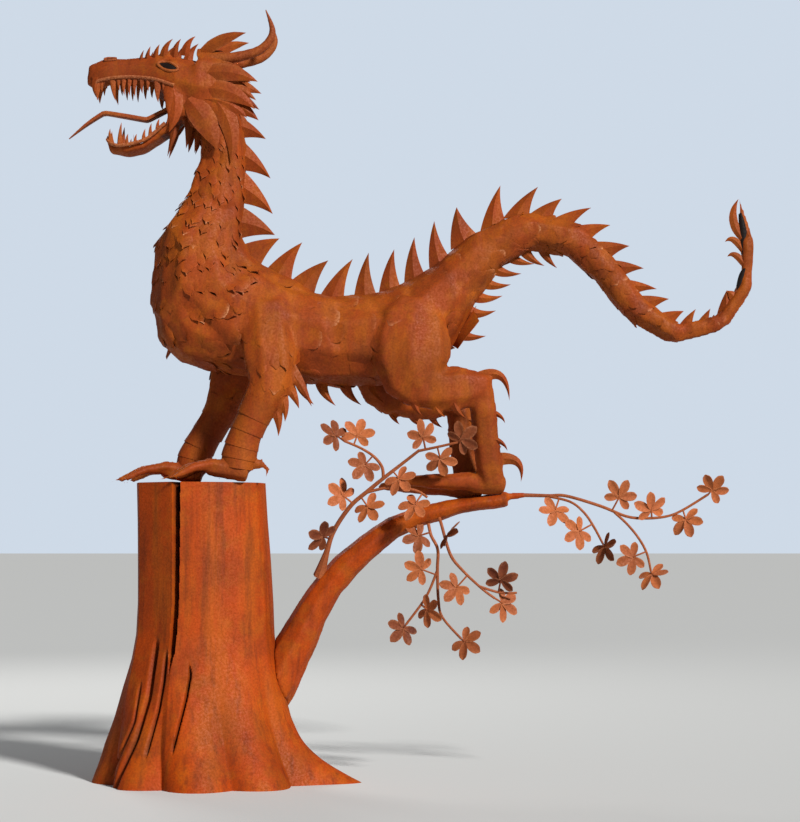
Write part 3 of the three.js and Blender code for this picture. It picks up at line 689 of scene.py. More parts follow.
def forged_plate(root, bend, tip, half_width, fold, outline, rings=10, flat=SIDEWAYS):
    """A plate folded along its middle, with hollow wings and a thin rim."""

    def section(share, angle):
        across, rise = math.cos(angle), math.sin(angle)
        width = half_width * outline_at(outline, share)
        height = fold * (1 - 0.7 * share) * min(1.0, 4.0 * (1 - share)) * max(0.0, 1 - abs(across)) ** 1.2
        return width * across, math.copysign(height, rise) + RIM * rise * min(1.0, 6.0 * (1 - share))

    return sweep(bezier(root, bend, tip), section, 12, rings, flat)


def mark(bm, tone_at, wear_at=None):
    """Writes the tone and the wear that functions of the place give."""
    tone_layer, wear_layer = new_layers(bm)
    for vert in bm.verts:
        vert[tone_layer] = tone_at(vert.co)
        vert[wear_layer] = wear_at(vert.co) if wear_at else 0.0


def add_marked(bm, part, tone, wear_at=None):
    """Gives a part one tone, and wear where a function of the place says, and adds it to a mesh."""
    mark(part, lambda place: tone, wear_at)
    join(bm, part)


def finish_piece(name, bm, material, nodes=(), sharp=math.radians(38)):
    """Makes an object of a finished mesh and ties it to the frame."""
    bmesh.ops.recalc_face_normals(bm, faces=bm.faces)
    mesh = bpy.data.meshes.new(name)
    bm.to_mesh(mesh)
    bm.free()
    mesh.shade_smooth()
    mesh.set_sharp_from_angle(angle=sharp)
    mesh.materials.append(material)
    piece = bpy.data.objects.new(name, mesh)
    bpy.context.scene.collection.objects.link(piece)
    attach(piece, "root")
    if nodes:
        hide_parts(*nodes)
    return piece


def hammered_copy(node, voxel, rounds):
    """The solid of a node with an even, softened skin, as a mesh to work on."""
    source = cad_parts[node]
    bm = bmesh.new()
    bm.from_mesh(source.data)
    bm.transform(source.matrix_world)
    bmesh.ops.remove_doubles(bm, verts=bm.verts, dist=0.00001)
    rough = bpy.data.meshes.new("rough")
    bm.to_mesh(rough)
    bm.free()
    holder = bpy.data.objects.new("rough", rough)
    bpy.context.scene.collection.objects.link(holder)
    even = holder.modifiers.new("even", "REMESH")
    even.mode = "VOXEL"
    even.voxel_size = voxel
    done = holder.evaluated_get(bpy.context.evaluated_depsgraph_get())
    bm = bmesh.new()
    bm.from_mesh(done.to_mesh())
    done.to_mesh_clear()
    bpy.data.objects.remove(holder)
    bpy.data.meshes.remove(rough)
    for _ in range(rounds):
        bmesh.ops.smooth_vert(
            bm, verts=bm.verts, factor=0.5, use_axis_x=True, use_axis_y=True, use_axis_z=True
        )
    return bm


def surface_of(name):
    """A finished piece as a surface to lay other pieces on."""
    bm = bmesh.new()
    bm.from_mesh(bpy.data.objects[name].data)
    surface = BVHTree.FromBMesh(bm)
    bm.free()
    return surface


def dent(bm, depth, pitch):
    """Hammer dents: each point moves along its normal by a soft noise."""
    bm.normal_update()
    for vert in bm.verts:
        broad = noise.noise(vert.co * pitch)
        fine = noise.noise(vert.co * pitch * 2.7 + Vector((7.0, 3.0, 5.0)))
        vert.co += vert.normal * depth * (broad + 0.45 * fine)


# Materials


def rust_group():
    """Shared node group: mottled rust with bloom, streaks, tone and worn edges, where a low tone darkens
    towards the dark colour, also as painted shade.
    """
    if "Weathered rust" in bpy.data.node_groups:
        return bpy.data.node_groups["Weathered rust"]
    group = bpy.data.node_groups.new("Weathered rust", "ShaderNodeTree")
    face = group.interface
    for title in ("Rust", "Bloom", "Dark", "Worn"):
        face.new_socket(title, in_out="INPUT", socket_type="NodeSocketColor")
    for title, value in (("Tone", 0.5), ("Wear", 0.0), ("Streaks", 0.3), ("Bloom share", 0.5)):
        socket = face.new_socket(title, in_out="INPUT", socket_type="NodeSocketFloat")
        socket.default_value = value
    face.new_socket("Colour", in_out="OUTPUT", socket_type="NodeSocketColor")
    face.new_socket("Roughness", in_out="OUTPUT", socket_type="NodeSocketFloat")
    face.new_socket("Height", in_out="OUTPUT", socket_type="NodeSocketFloat")
    nodes, links = group.nodes, group.links
    given = nodes.new("NodeGroupInput")
    result = nodes.new("NodeGroupOutput")
    place = nodes.new("ShaderNodeTexCoord").outputs["Object"]

    def grain(scale, detail, source=place):
        texture = nodes.new("ShaderNodeTexNoise")
        texture.inputs["Scale"].default_value = scale
        texture.inputs["Detail"].default_value = detail
        texture.inputs["Roughness"].default_value = 0.62
        links.new(source, texture.inputs["Vector"])
        return texture.outputs["Fac"]

    def spread(value, low, high, to_low=0.0, to_high=1.0):
        ramp = nodes.new("ShaderNodeMapRange")
        ramp.interpolation_type = "SMOOTHSTEP"
        for socket, number in zip(("From Min", "From Max", "To Min", "To Max"), (low, high, to_low, to_high)):
            ramp.inputs[socket].default_value = number
        links.new(value, ramp.inputs["Value"])
        return ramp.outputs["Result"]

    def maths(operation, first, second):
        node = nodes.new("ShaderNodeMath")
        node.operation = operation
        for socket, value in zip(node.inputs, (first, second)):
            if isinstance(value, (int, float)):
                socket.default_value = value
            else:
                links.new(value, socket)
        return node.outputs[0]

    def blend(kind, share, under, over):
        node = nodes.new("ShaderNodeMix")
        node.data_type = "RGBA"
        node.blend_type = kind
        if isinstance(share, float):
            node.inputs["Factor"].default_value = share
        else:
            links.new(share, node.inputs["Factor"])
        links.new(under, node.inputs["A"])
        links.new(over, node.inputs["B"])
        return node.outputs["Result"]

    def stretched(scale):
        mapping = nodes.new("ShaderNodeMapping")
        mapping.inputs["Scale"].default_value = scale
        links.new(place, mapping.inputs["Vector"])
        return mapping.outputs["Vector"]

    broad = spread(grain(2.6, 6.0), 0.4, 0.64)
    patches = spread(grain(6.5, 7.0), 0.46, 0.66)
    pits = grain(75.0, 5.0)
    speck = grain(240.0, 3.0)
    runs = spread(grain(1.5, 6.0, stretched((12.0, 12.0, 0.8))), 0.46, 0.68)
    wash = spread(grain(1.2, 5.0, stretched((5.5, 5.5, 0.9))), 0.42, 0.66)

    # A low tone darkens towards the dark colour: random tone on plates, and painted shade where the mesh
    # marks it.
    darkness = maths("MULTIPLY", maths("SUBTRACT", 1.0, given.outputs["Tone"]), 0.95)
    darkness = maths("ADD", darkness, maths("MULTIPLY", broad, 0.26))
    darkness = maths("MINIMUM", darkness, 1.0)
    colour = given.outputs["Rust"]
    bloom = maths("MULTIPLY", maths("MAXIMUM", patches, wash), given.outputs["Bloom share"])
    colour = blend("MIX", bloom, colour, given.outputs["Bloom"])
    colour = blend("MIX", darkness, colour, given.outputs["Dark"])
    colour = blend("MIX", maths("MULTIPLY", runs, given.outputs["Streaks"]), colour, given.outputs["Dark"])
    worn = maths("MULTIPLY", maths("POWER", given.outputs["Wear"], 2.0), spread(pits, 0.36, 0.6, 0.2, 0.8))
    colour = blend("MIX", worn, colour, given.outputs["Worn"])
    shade = maths("ADD", spread(pits, 0.3, 0.7, 0.8, 1.1), spread(speck, 0.3, 0.7, -0.07, 0.09))
    tint = nodes.new("ShaderNodeCombineColor")
    for socket in tint.inputs:
        links.new(shade, socket)
    colour = blend("MULTIPLY", 1.0, colour, tint.outputs["Color"])
    links.new(colour, result.inputs["Colour"])
    links.new(spread(pits, 0.3, 0.7, 0.8, 0.5), result.inputs["Roughness"])
    height = maths("ADD", maths("MULTIPLY", pits, 0.6), maths("MULTIPLY", speck, 0.25))
    links.new(height, result.inputs["Height"])
    return group


def rusted(name, rust, streaks, bloom, dark=None):
    """A rusted steel finish, with tone and wear read from the mesh."""
    if name in bpy.data.materials:
        return bpy.data.materials[name]
    colours = bpy.context.scene.rust_colours
    material = bpy.data.materials.new(name)
    material.use_nodes = True
    nodes, links = material.node_tree.nodes, material.node_tree.links
    surface = nodes["Principled BSDF"]
    surface.inputs["Metallic"].default_value = 0.0
    surface.inputs["Specular IOR Level"].default_value = 0.16
    patina = nodes.new("ShaderNodeGroup")
    patina.node_tree = rust_group()
    patina.inputs["Rust"].default_value = rust
    patina.inputs["Bloom"].default_value = colours.ochre
    patina.inputs["Dark"].default_value = dark or colours.dark
    patina.inputs["Worn"].default_value = colours.pale
    patina.inputs["Streaks"].default_value = streaks
    patina.inputs["Bloom share"].default_value = bloom
    for title, layer in (("Tone", "tone"), ("Wear", "wear")):
        reader = nodes.new("ShaderNodeAttribute")
        reader.attribute_name = layer
        links.new(reader.outputs["Fac"], patina.inputs[title])
    bump = nodes.new("ShaderNodeBump")
    bump.inputs["Strength"].default_value = 0.45
    bump.inputs["Distance"].default_value = 0.004
    links.new(patina.outputs["Colour"], surface.inputs["Base Color"])
    links.new(patina.outputs["Roughness"], surface.inputs["Roughness"])
    links.new(patina.outputs["Height"], bump.inputs["Height"])
    links.new(bump.outputs["Normal"], surface.inputs["Normal"])
    return material


def skin_finish():
    return rusted("Dragon skin rust", bpy.context.scene.rust_colours.brown, 0.22, 0.55)


def plate_finish():
    return rusted("Plate rust", bpy.context.scene.rust_colours.brown, 0.14, 0.5)


def trunk_finish():
    colours = bpy.context.scene.rust_colours
    # The trunk's dark colour is the painted shade of its slit and creases, and also its dark streaks.
    return rusted("Trunk rust", colours.bright, 0.34, 0.4, colours.painted_shade_and_streaks)


def leaf_finish():
    return rusted("Leaf rust", bpy.context.scene.rust_colours.leaf, 0.05, 0.25)


# Finish of the dark sheets that paint the shade inside the eyes, the nostrils and the tail's hollow side.
def painted_shade_finish():
    painted_shade_and_streaks = bpy.context.scene.rust_colours.painted_shade_and_streaks
    return rusted("Painted shade black", painted_shade_and_streaks, 0.0, 0.0, painted_shade_and_streaks)


# Scales


class ScalePlacer:
    """Sets scales on the skin, in courses along a route."""

    def __init__(self, skin, sizes):
        self.tree = BVHTree.FromBMesh(skin)
        self.sizes = sizes
        self.bm = bmesh.new()
        self.rng = random.Random(41)

    def scale(self, spot, normal, heading, half_width, length, lift, squareness):
        """One scale: a bent sheet that lies in the skin at its root and lifts at its tip."""
        along = (heading - normal * heading.dot(normal)).normalized()
        across = along.cross(normal)
        tone = min(1.0, max(0.45, self.rng.gauss(0.86, 0.09)))
        shine = self.rng.random() ** 4
        part = bmesh.new()
        tone_layer, wear_layer = new_layers(part)
        bmesh.ops.create_grid(part, x_segments=4, y_segments=5, size=1.0)
        for vert in part.verts:
            aside, down = vert.co.x, (vert.co.y + 1.0) * 0.5
            round_end = math.sqrt(max(0.0, 1.0 - max(0.0, (down - 0.5) / 0.5) ** 2.6))
            narrow = squareness + (1.0 - squareness) * round_end
            vert[wear_layer] = shine * max(0.0, down - 0.75) / 0.25
            vert[tone_layer] = tone
            reach = down - 0.14 * (1.0 - squareness) * down**3 * aside**2
            wanted = spot + across * (aside * half_width * narrow) + along * (reach * length)
            near, face_normal, _, gap = self.tree.find_nearest(wanted)
            rise = max(0.0, down - 0.25) / 0.75
            height = 0.001 - 0.005 * aside**2 * (1.0 - rise) + lift * rise**1.5
            if gap < 0.06:
                vert.co = near + face_normal.lerp(normal, 0.5).normalized() * height
            else:
                vert.co = wanted + normal * height
        bmesh.ops.solidify(part, geom=part.faces, thickness=self.sizes.scale_thickness)
        join(self.bm, part)

    def courses(
        self, route, begin, end, length, width_share, lift, squareness, share, keep_back=0.2, clear=()
    ):
        """Rings of scales along a stretch of a route, each ring half a scale round from the last."""
        place = begin
        ring = 0
        while place < end:
            middle, heading, outward, depth, width = route.at(place)
            radius = (depth + width) * 0.5
            reach = length(place, radius)
            half_width = reach * width_share
            count = max(5, round(math.tau * radius / (half_width * 1.75)))
            for k in range(count):
                angle = math.tau * (k + 0.5 * (ring % 2)) / count + self.rng.uniform(-0.12, 0.12)
                if math.cos(angle) > math.cos(keep_back) or self.rng.random() > share:
                    continue
                ray = outward * math.cos(angle) + SIDEWAYS * math.sin(angle)
                rim = math.hypot(depth * math.cos(angle), width * math.sin(angle))
                begin_at = middle + ray * (rim * 1.25 + 0.03)
                spot, normal, _, gap = self.tree.ray_cast(begin_at, -ray, rim * 0.8)
                if spot is None or normal.dot(ray) < 0.35 or any(limb.within(spot, 1.08) for limb in clear):
                    continue
                grow = self.rng.uniform(0.72, 1.2)
                raised = lift * self.rng.choice((0.15, 0.3, 0.5, 0.9, 1.6))
                shift = heading * (self.rng.uniform(-0.2, 0.2) * reach - 0.4 * reach)
                spot, normal, _, gap = self.tree.find_nearest(spot + shift)
                lean = (heading + heading.cross(normal) * self.rng.uniform(-0.16, 0.16)).normalized()
                self.scale(spot, normal, lean, half_width * grow, reach * grow, raised, squareness)
            place += 0.6 * reach / route.length
            ring += 1


def cuffs(bm, route, begin, end, count, flare, rng):
    """Overlapping bands round a limb, each flared at its lower end."""
    for k in range(count):
        first = begin + (end - begin) * (k - 0.15) / count
        last = begin + (end - begin) * (k + 1.0 + rng.uniform(-0.1, 0.1)) / count
        tilt = rng.uniform(-0.02, 0.02)

        def section(share, angle, first=first, last=last, tilt=tilt):
            size = through(route.sizes, first + (last - first) * share)
            swell = 0.98 + flare * share**1.5 + tilt * math.cos(angle)
            return size.x * swell * math.cos(angle), size.y * swell * math.sin(angle)

        def line(share, first=first, last=last):
            return through(route.points, first + (last - first) * share)

        add_marked(bm, sweep(line, section, 20, 5), rng.uniform(0.78, 0.98))


class DRAGON_OT_skin(bpy.types.Operator):
    """Hammered skin of the dragon, and the scales welded on to it"""

    bl_idname = "dragon.skin"
    bl_label = "Skin and scales"

    def execute(self, context):
        sizes = context.scene.dragon_sizes
        skin = hammered_copy("dragon_body", sizes.skin_voxel, 5)
        dent(skin, sizes.dent_depth, 8.0)
        placer = ScalePlacer(skin, sizes)
        chest = sizes.scale_length
        spine = spine_route()
        forelegs = [Route(NEAR_FORELEG, -1.0), Route(FAR_FORELEG, 1.0)]
        thighs = [Route(THIGH, -1.0), Route(THIGH, 1.0, FAR_HIND_SHIFT)]
        legs = forelegs + thighs
        neck = lambda place, radius: chest * min(1.0, 0.5 + 1.5 * radius)
        flank = lambda place, radius: chest
        tail = lambda place, radius: max(0.07, 1.15 * radius)
        haunch = lambda place, radius: chest * 1.3
        placer.courses(spine, 0.03, 0.235, neck, 0.25, 0.009, 0.2, 0.75, clear=legs)
        placer.courses(spine, 0.235, 0.44, flank, 0.42, 0.01, 0.65, 0.75, clear=legs)
        placer.courses(spine, 0.44, 0.9, tail, 0.4, 0.009, 0.4, 0.8, clear=legs)
        for leg in forelegs:
            placer.courses(leg, 0.1, 0.5, flank, 0.3, 0.008, 0.3, 0.75, keep_back=0.0)
            cuffs(placer.bm, leg, 0.52, 0.98, 5, 0.05, placer.rng)
        for thigh in thighs:
            placer.courses(thigh, 0.2, 0.8, haunch, 0.36, 0.004, 0.3, 0.3, keep_back=0.0)
        mark(skin, skin_tone_and_mouth_shade)
        finish_piece("dragon_skin", skin, skin_finish(), ("dragon_body",))
        finish_piece("dragon_scales", placer.bm, plate_finish())
        return {"FINISHED"}


def skin_tone_and_mouth_shade(place):
    """Tone of the skin: painted shade inside the mouth, mottled elsewhere."""
    inside = abs(place.y) < 0.09 and -0.56 < place.x < -0.2 and 4.1 < place.z < 4.46
    # Painted shade: the inside of the mouth is darkened in colour.
    return 0.2 if inside else 0.86 + 0.1 * noise.noise(place * 3.0)


# Crest


def rim_wear(root, bend, tip, half_width, most=0.5):
    """Wear that grows towards a plate's rim and tip."""
    line = bezier(root, bend, tip)
    marks = [line(k / 12) for k in range(13)]

    def wear(place):
        away = min((place - spot).length for spot in marks)
        return most * min(1.0, away / half_width) ** 3

    return wear


def under_plate(spine, part, reach, lean):
    """Root, bend and tip of a plate that hangs from the belly."""
    middle, heading, outward, depth, _ = spine.at(spine.share_at(part))
    foot = middle - outward * (depth - 0.026)
    aim = heading * math.sin(lean) - outward * math.cos(lean)
    return foot + outward * 0.02, foot - outward * 0.07, foot - outward * 0.026 + aim * reach


def fin_plate(row, fold):
    """A shark fin of folded sheet on the back, bowed towards the head, and the line of its fold."""
    front, rear, tip = mm(row[0], 0, row[1]), mm(row[2], 0, row[3]), mm(row[4], 0, row[5])
    base = rear - front
    outward = base.cross(SIDEWAYS).normalized()
    if outward.dot(tip - front) < 0.0:
        outward.negate()
    front -= outward * FIN_ROOT
    rear -= outward * FIN_ROOT

    def bowed(foot):
        bow = (tip - foot).cross(SIDEWAYS) * FIN_BOW
        return bezier(foot, foot.lerp(tip, 0.5) + bow, tip)

    lead, trail = bowed(front), bowed(rear)
    part = bmesh.new()
    bmesh.ops.create_cone(part, cap_ends=True, segments=12, radius1=1.0, radius2=1.0, depth=1.0)
    upright = [e for e in part.edges if abs(e.verts[0].co.z - e.verts[1].co.z) > 0.5]
    bmesh.ops.subdivide_edges(part, edges=upright, cuts=12, use_grid_fill=True)
    for vert in part.verts:
        share = min(max(vert.co.z + 0.5, 0.0), 1.0)
        across = min(max(vert.co.x, -1.0), 1.0)
        height = fold * (1 - 0.75 * share) * (1 - abs(across)) ** 1.3 * min(1.0, 5 * (1 - share))
        rim = RIM * min(1.0, 6 * (1 - share))
        side = math.copysign(1.0, vert.co.y) if abs(vert.co.y) > 0.001 else 0.0
        vert.co = trail(share).lerp(lead(share), 0.5 + 0.5 * across) + SIDEWAYS * side * (height + rim)
    bmesh.ops.remove_doubles(part, verts=part.verts, dist=0.0002)
    return part, lead, trail, tip


class DRAGON_OT_crest(bpy.types.Operator):
    """Folded plates along the back, under the belly and at the tail's end"""

    bl_idname = "dragon.crest"
    bl_label = "Crest"

    def execute(self, context):
        fold = context.scene.dragon_sizes.plate_thickness
        spine = spine_route()
        rng = random.Random(7)
        crest = bmesh.new()
        for row in DORSAL_PLATES:
            breadth = math.hypot(row[2] - row[0], row[3] - row[1]) * 0.001
            plate, lead, trail, tip = fin_plate(row, fold * breadth / 0.17)
            root = lead(0.0).lerp(trail(0.0), 0.5)
            middle = lead(0.5).lerp(trail(0.5), 0.5)
            add_marked(crest, plate, rng.uniform(0.74, 0.95), rim_wear(root, middle, tip, 0.5 * breadth))
        for root_x, root_z, bend_x, bend_z, tip_x, tip_z, half_width in TAIL_CURLS:
            root, bend, tip = mm(root_x, -14, root_z), mm(bend_x, -20, bend_z), mm(tip_x, -16, tip_z)
            plate = forged_plate(root, bend, tip, half_width * 0.001, 0.01, FEATHER, 14)
            add_marked(crest, plate, rng.uniform(0.74, 0.95), rim_wear(root, bend, tip, half_width * 0.001))
        nodes = sorted(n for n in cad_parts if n.startswith("dorsal_plate"))
        finish_piece("crest_plates", crest, plate_finish(), nodes, math.radians(24))

        belly = bmesh.new()
        for part in UNDER_PLATES:
            root, bend, tip = under_plate(spine, part, 0.16, 0.75)
            plate = forged_plate(root, bend, tip, 0.046, 0.018, SPUR, 14)
            add_marked(belly, plate, rng.uniform(0.74, 0.98), rim_wear(root, bend, tip, 0.046))
        nodes = sorted(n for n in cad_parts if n.startswith("under_plate"))
        finish_piece("belly_plates", belly, plate_finish(), nodes, math.radians(24))

        # Painted shade: dark strips along the tail's end stand in for the shade of its hollow side.
        channel = bmesh.new()
        for y in SIDES:
            rows = [(x, y * 20, z, half, 9) for x, z, half in TAIL_CHANNEL]
            add_marked(channel, limb(Route(rows), 10, 40, 0.0), 0.3)
        finish_piece("tail_channel", channel, painted_shade_finish())
        return {"FINISHED"}


# Head


def bent_plate(bm, row, side, fold, outline, tone, rings=12):
    """A folded plate on the head, given on one side."""
    root_x, root_z, bend_x, bend_z, tip_x, tip_z, half_width, root_away, tip_away = row
    root = mm(root_x, side * root_away * 0.9, root_z)
    bend = mm(bend_x, side * (0.5 * (root_away + tip_away) + 22), bend_z)
    tip = mm(tip_x, side * tip_away, tip_z)
    plate = forged_plate(root, bend, tip, half_width * 0.001, fold, outline, rings)
    add_marked(bm, plate, tone, rim_wear(root, bend, tip, half_width * 0.001))


def tooth(bm, row, y, tone):
    """A tooth cut from plate: a bent blade with a sharp point."""
    root_x, root_z, tip_x, tip_z, half_width = row
    root = mm(root_x, y, root_z)
    tip = mm(tip_x, y * 0.96, tip_z)
    bend = root.lerp(tip, 0.55) + mm(-10, y * 0.05, 0)
    width = half_width * 0.00115

    def section(share, angle):
        radius = width * max(0.0, 1 - share) ** 0.8
        return radius * math.cos(angle), radius * 0.5 * math.sin(angle)

    add_marked(bm, sweep(bezier(root, bend, tip), section, 8, 7), tone, lambda place: 0.3)


def jaw_width(rim, x):
    """Distance from the middle to a jaw's rim, at a place along the jaw."""
    places = [(row[0], row[1]) for row in rim]
    after = next((k for k, place in enumerate(places) if place[0] >= x), len(places) - 1)
    (x0, y0), (x1, y1) = places[max(after - 1, 0)], places[max(after, 1)]
    return y0 + (y1 - y0) * min(max((x - x0) / (x1 - x0), 0.0), 1.0)


def limb(route, sides, rings, ripple, boxy=1.0):
    """A tapering limb along its route: oval, or with flatter sides where boxy is under 1."""

    def rounded(value):
        return math.copysign(abs(value) ** boxy, value)

    def section(share, angle):
        size = through(route.sizes, share)
        swell = 1.0 + ripple * math.sin(60.0 * share) * (1 - share)
        return size.x * swell * rounded(math.cos(angle)), size.y * swell * rounded(math.sin(angle))

    return sweep(lambda share: through(route.points, share), section, sides, rings)


def almond(row, u, v):
    """A place in an almond outline: u along it and v across, both from -1 to 1."""
    x, z, half_length, half_height, slope = row
    high = half_height * max(0.0, 1.0 - u * u) ** 0.7
    return x + u * half_length, z + v * high + slope * u * half_length


def painted_shade_opening(hole_shade_sheets, rims, row, side, surface, outward):
    """A dark almond sheet laid on the skin as the painted shade of an opening, with a rolled rim."""

    def laid(u, v, proud):
        x, z = almond(row, u, v)
        start = mm(x, 0, z) + outward * 0.5
        if abs(outward.z) > 0.5:
            start = mm(x, side * 42 + v * 14, z) + outward * 0.3
        spot, normal, _, _ = surface.ray_cast(start, -outward)
        return (spot if spot else mm(x, side * 120, z)) + outward * proud

    sheet = bmesh.new()
    bmesh.ops.create_grid(sheet, x_segments=10, y_segments=4, size=1.0)
    for vert in sheet.verts:
        vert.co = laid(vert.co.x, vert.co.y, 0.004)
    bmesh.ops.remove_doubles(sheet, verts=sheet.verts, dist=0.0005)
    bmesh.ops.solidify(sheet, geom=sheet.faces, thickness=0.003)
    # The sheet's low tone paints the shade inside the opening.
    add_marked(hole_shade_sheets, sheet, 0.1)
    loop = []
    for k in range(25):
        turn = math.tau * k / 24
        loop.append(laid(math.cos(turn), math.copysign(1.0, math.sin(turn)), 0.004))

    def section(share, angle):
        return 0.009 * math.cos(angle), 0.009 * math.sin(angle)

    roll = sweep(lambda share: through(loop, share), section, 8, 60, outward)
    add_marked(rims, roll, 0.85, lambda place: 0.4)


class DRAGON_OT_head(bpy.types.Operator):
    """Jaws, eyes, horns, ears, tongue, teeth and the plates of brow, mane and chin"""

    bl_idname = "dragon.head"
    bl_label = "Head"

    def execute(self, context):
        rng = random.Random(19)
        surface = surface_of("dragon_skin")
        plates = bmesh.new()
        hole_shade_sheets = bmesh.new()
        for side in SIDES:
            for row in BROW_PLATES:
                bent_plate(plates, row, side, 0.014, SPUR, rng.uniform(0.6, 0.85), 8)
            for row in MANE_PLATES:
                bent_plate(plates, row, side, 0.02, FEATHER, rng.uniform(0.7, 0.95))
            # Chin plates hang under the jaw and get a lower tone, painted shade.
            for row in CHIN_PLATES:
                bent_plate(plates, row, side, 0.014, SPUR, rng.uniform(0.45, 0.7))
            bent_plate(plates, CHEEK_PLATE, side, 0.018, FEATHER, 0.92)
            bent_plate(plates, LIP_FANG, side, 0.016, SPUR, 0.85)
            add_marked(plates, limb(Route(SNOUT_SIDE, side), 16, 24, 0.0, 0.6), 0.84)
            for rim in (UPPER_RIM, LOWER_RIM):
                add_marked(plates, limb(Route(rim, side), 8, 24, 0.0), 0.9, lambda place: 0.6)
            # Eyes and nostrils: dark sheets of painted shade, each ringed by a rolled rim.
            painted_shade_opening(hole_shade_sheets, plates, EYE, side, surface, Vector((0.0, side, 0.0)))
            painted_shade_opening(hole_shade_sheets, plates, NOSTRIL, side, surface, Vector((0.0, side * 0.6, 0.8)))
        finish_piece("head_plates", plates, plate_finish(), (), math.radians(24))
        finish_piece("eye_hollows", hole_shade_sheets, painted_shade_finish())

        teeth = bmesh.new()
        for side in SIDES:
            for rows, rim in ((UPPER_TEETH, UPPER_RIM), (LOWER_TEETH, LOWER_RIM)):
                for row in rows:
                    tooth(teeth, row, side * (jaw_width(rim, row[0]) - 8), rng.uniform(0.8, 1.0))
        finish_piece("teeth", teeth, plate_finish())

        horns = bmesh.new()
        ears = bmesh.new()
        for side in SIDES:
            add_marked(horns, limb(Route(HORN, side), 16, 40, 0.04), 0.84, lambda place: 0.3)
            root, bend, tip = mm(-80, side * 78, 4645), mm(60, side * 112, 4748), mm(216, side * 132, 4768)
            plume = forged_plate(root, bend, tip, 0.043, 0.018, FEATHER, 14)
            add_marked(ears, plume, 0.85, rim_wear(root, bend, tip, 0.043))
        finish_piece("horns", horns, plate_finish(), ("horn_left", "horn_right"))
        finish_piece("ears", ears, plate_finish(), ("ear_left", "ear_right"), math.radians(24))

        tongue = bmesh.new()
        add_marked(tongue, limb(Route(TONGUE), 12, 60, 0.0, 0.5), 0.75, lambda place: 0.3)
        finish_piece("tongue_ribbon", tongue, plate_finish(), ("tongue",))
        return {"FINISHED"}


# Legs


def leg_plate(bm, row, side, away, shift, fold, tone):
    root_x, root_z, bend_x, bend_z, tip_x, tip_z, half_width = row

    def place(x, z):
        return mm(x + shift[0], side * away + shift[1], z + shift[2])

    root, bend, tip = place(root_x, root_z), place(bend_x, bend_z), place(tip_x, tip_z)
    plate = forged_plate(root, bend, tip, half_width * 0.00108, fold, SPUR, 14)
    add_marked(bm, plate, tone, rim_wear(root, bend, tip, half_width * 0.001))


class DRAGON_OT_legs(bpy.types.Operator):
    """Plates behind the elbows and hocks, and tufts on the shanks"""

    bl_idname = "dragon.legs"
    bl_label = "Leg plates"

    def execute(self, context):
        rng = random.Random(23)
        bm = bmesh.new()
        for rows, side in ((NEAR_FORELEG, -1.0), (FAR_FORELEG, 1.0)):
            shift = (rows[3][0] - NEAR_FORELEG[3][0], 0, rows[3][2] - NEAR_FORELEG[3][2])
            for i, row in enumerate(ELBOW_PLATES):
                leg_plate(bm, row, side, 272 + 12 * (i % 2), shift, 0.016, rng.uniform(0.75, 0.98))
        for side, shift in ((-1.0, (0, 0, 0)), (1.0, FAR_HIND_SHIFT)):
            for row, away in zip(HOCK_PLATES, (190, 145, 157, 96)):
                leg_plate(bm, row, side, away, shift, 0.022, rng.uniform(0.75, 0.95))
            for i, row in enumerate(SHANK_TUFTS):
                leg_plate(bm, row, side, 238 + 12 * (i % 2), shift, 0.02, rng.uniform(0.75, 0.98))
        finish_piece("leg_plates", bm, plate_finish(), (), math.radians(24))
        return {"FINISHED"}


# Tree


def trunk_row(height):
    """Half width, half depth and middle of the trunk at a height, in millimetres."""
    after = next(k for k, row in enumerate(TRUNK) if row[0] >= height)
    low, high = TRUNK[max(after - 1, 0)], TRUNK[after]
    share = 0.0 if high is low else (height - low[0]) / (high[0] - low[0])
    return [a + (b - a) * share for a, b in zip(low[1:], high[1:])]


def apart(first, second):
    return math.atan2(math.sin(first - second), math.cos(first - second))


def panel_share(angle):
    """How far a flat panel draws the trunk in from its round outline."""
    for k, (begin, flat) in enumerate(TRUNK_PANELS):
        end = TRUNK_PANELS[(k + 1) % len(TRUNK_PANELS)][0]
        span = (end - begin) % math.tau
        along = (angle - begin) % math.tau
        if along <= span:
            chord = math.cos(span * 0.5) / math.cos(along - span * 0.5)
            return 1.0 + flat * (chord - 1.0)
    return 1.0


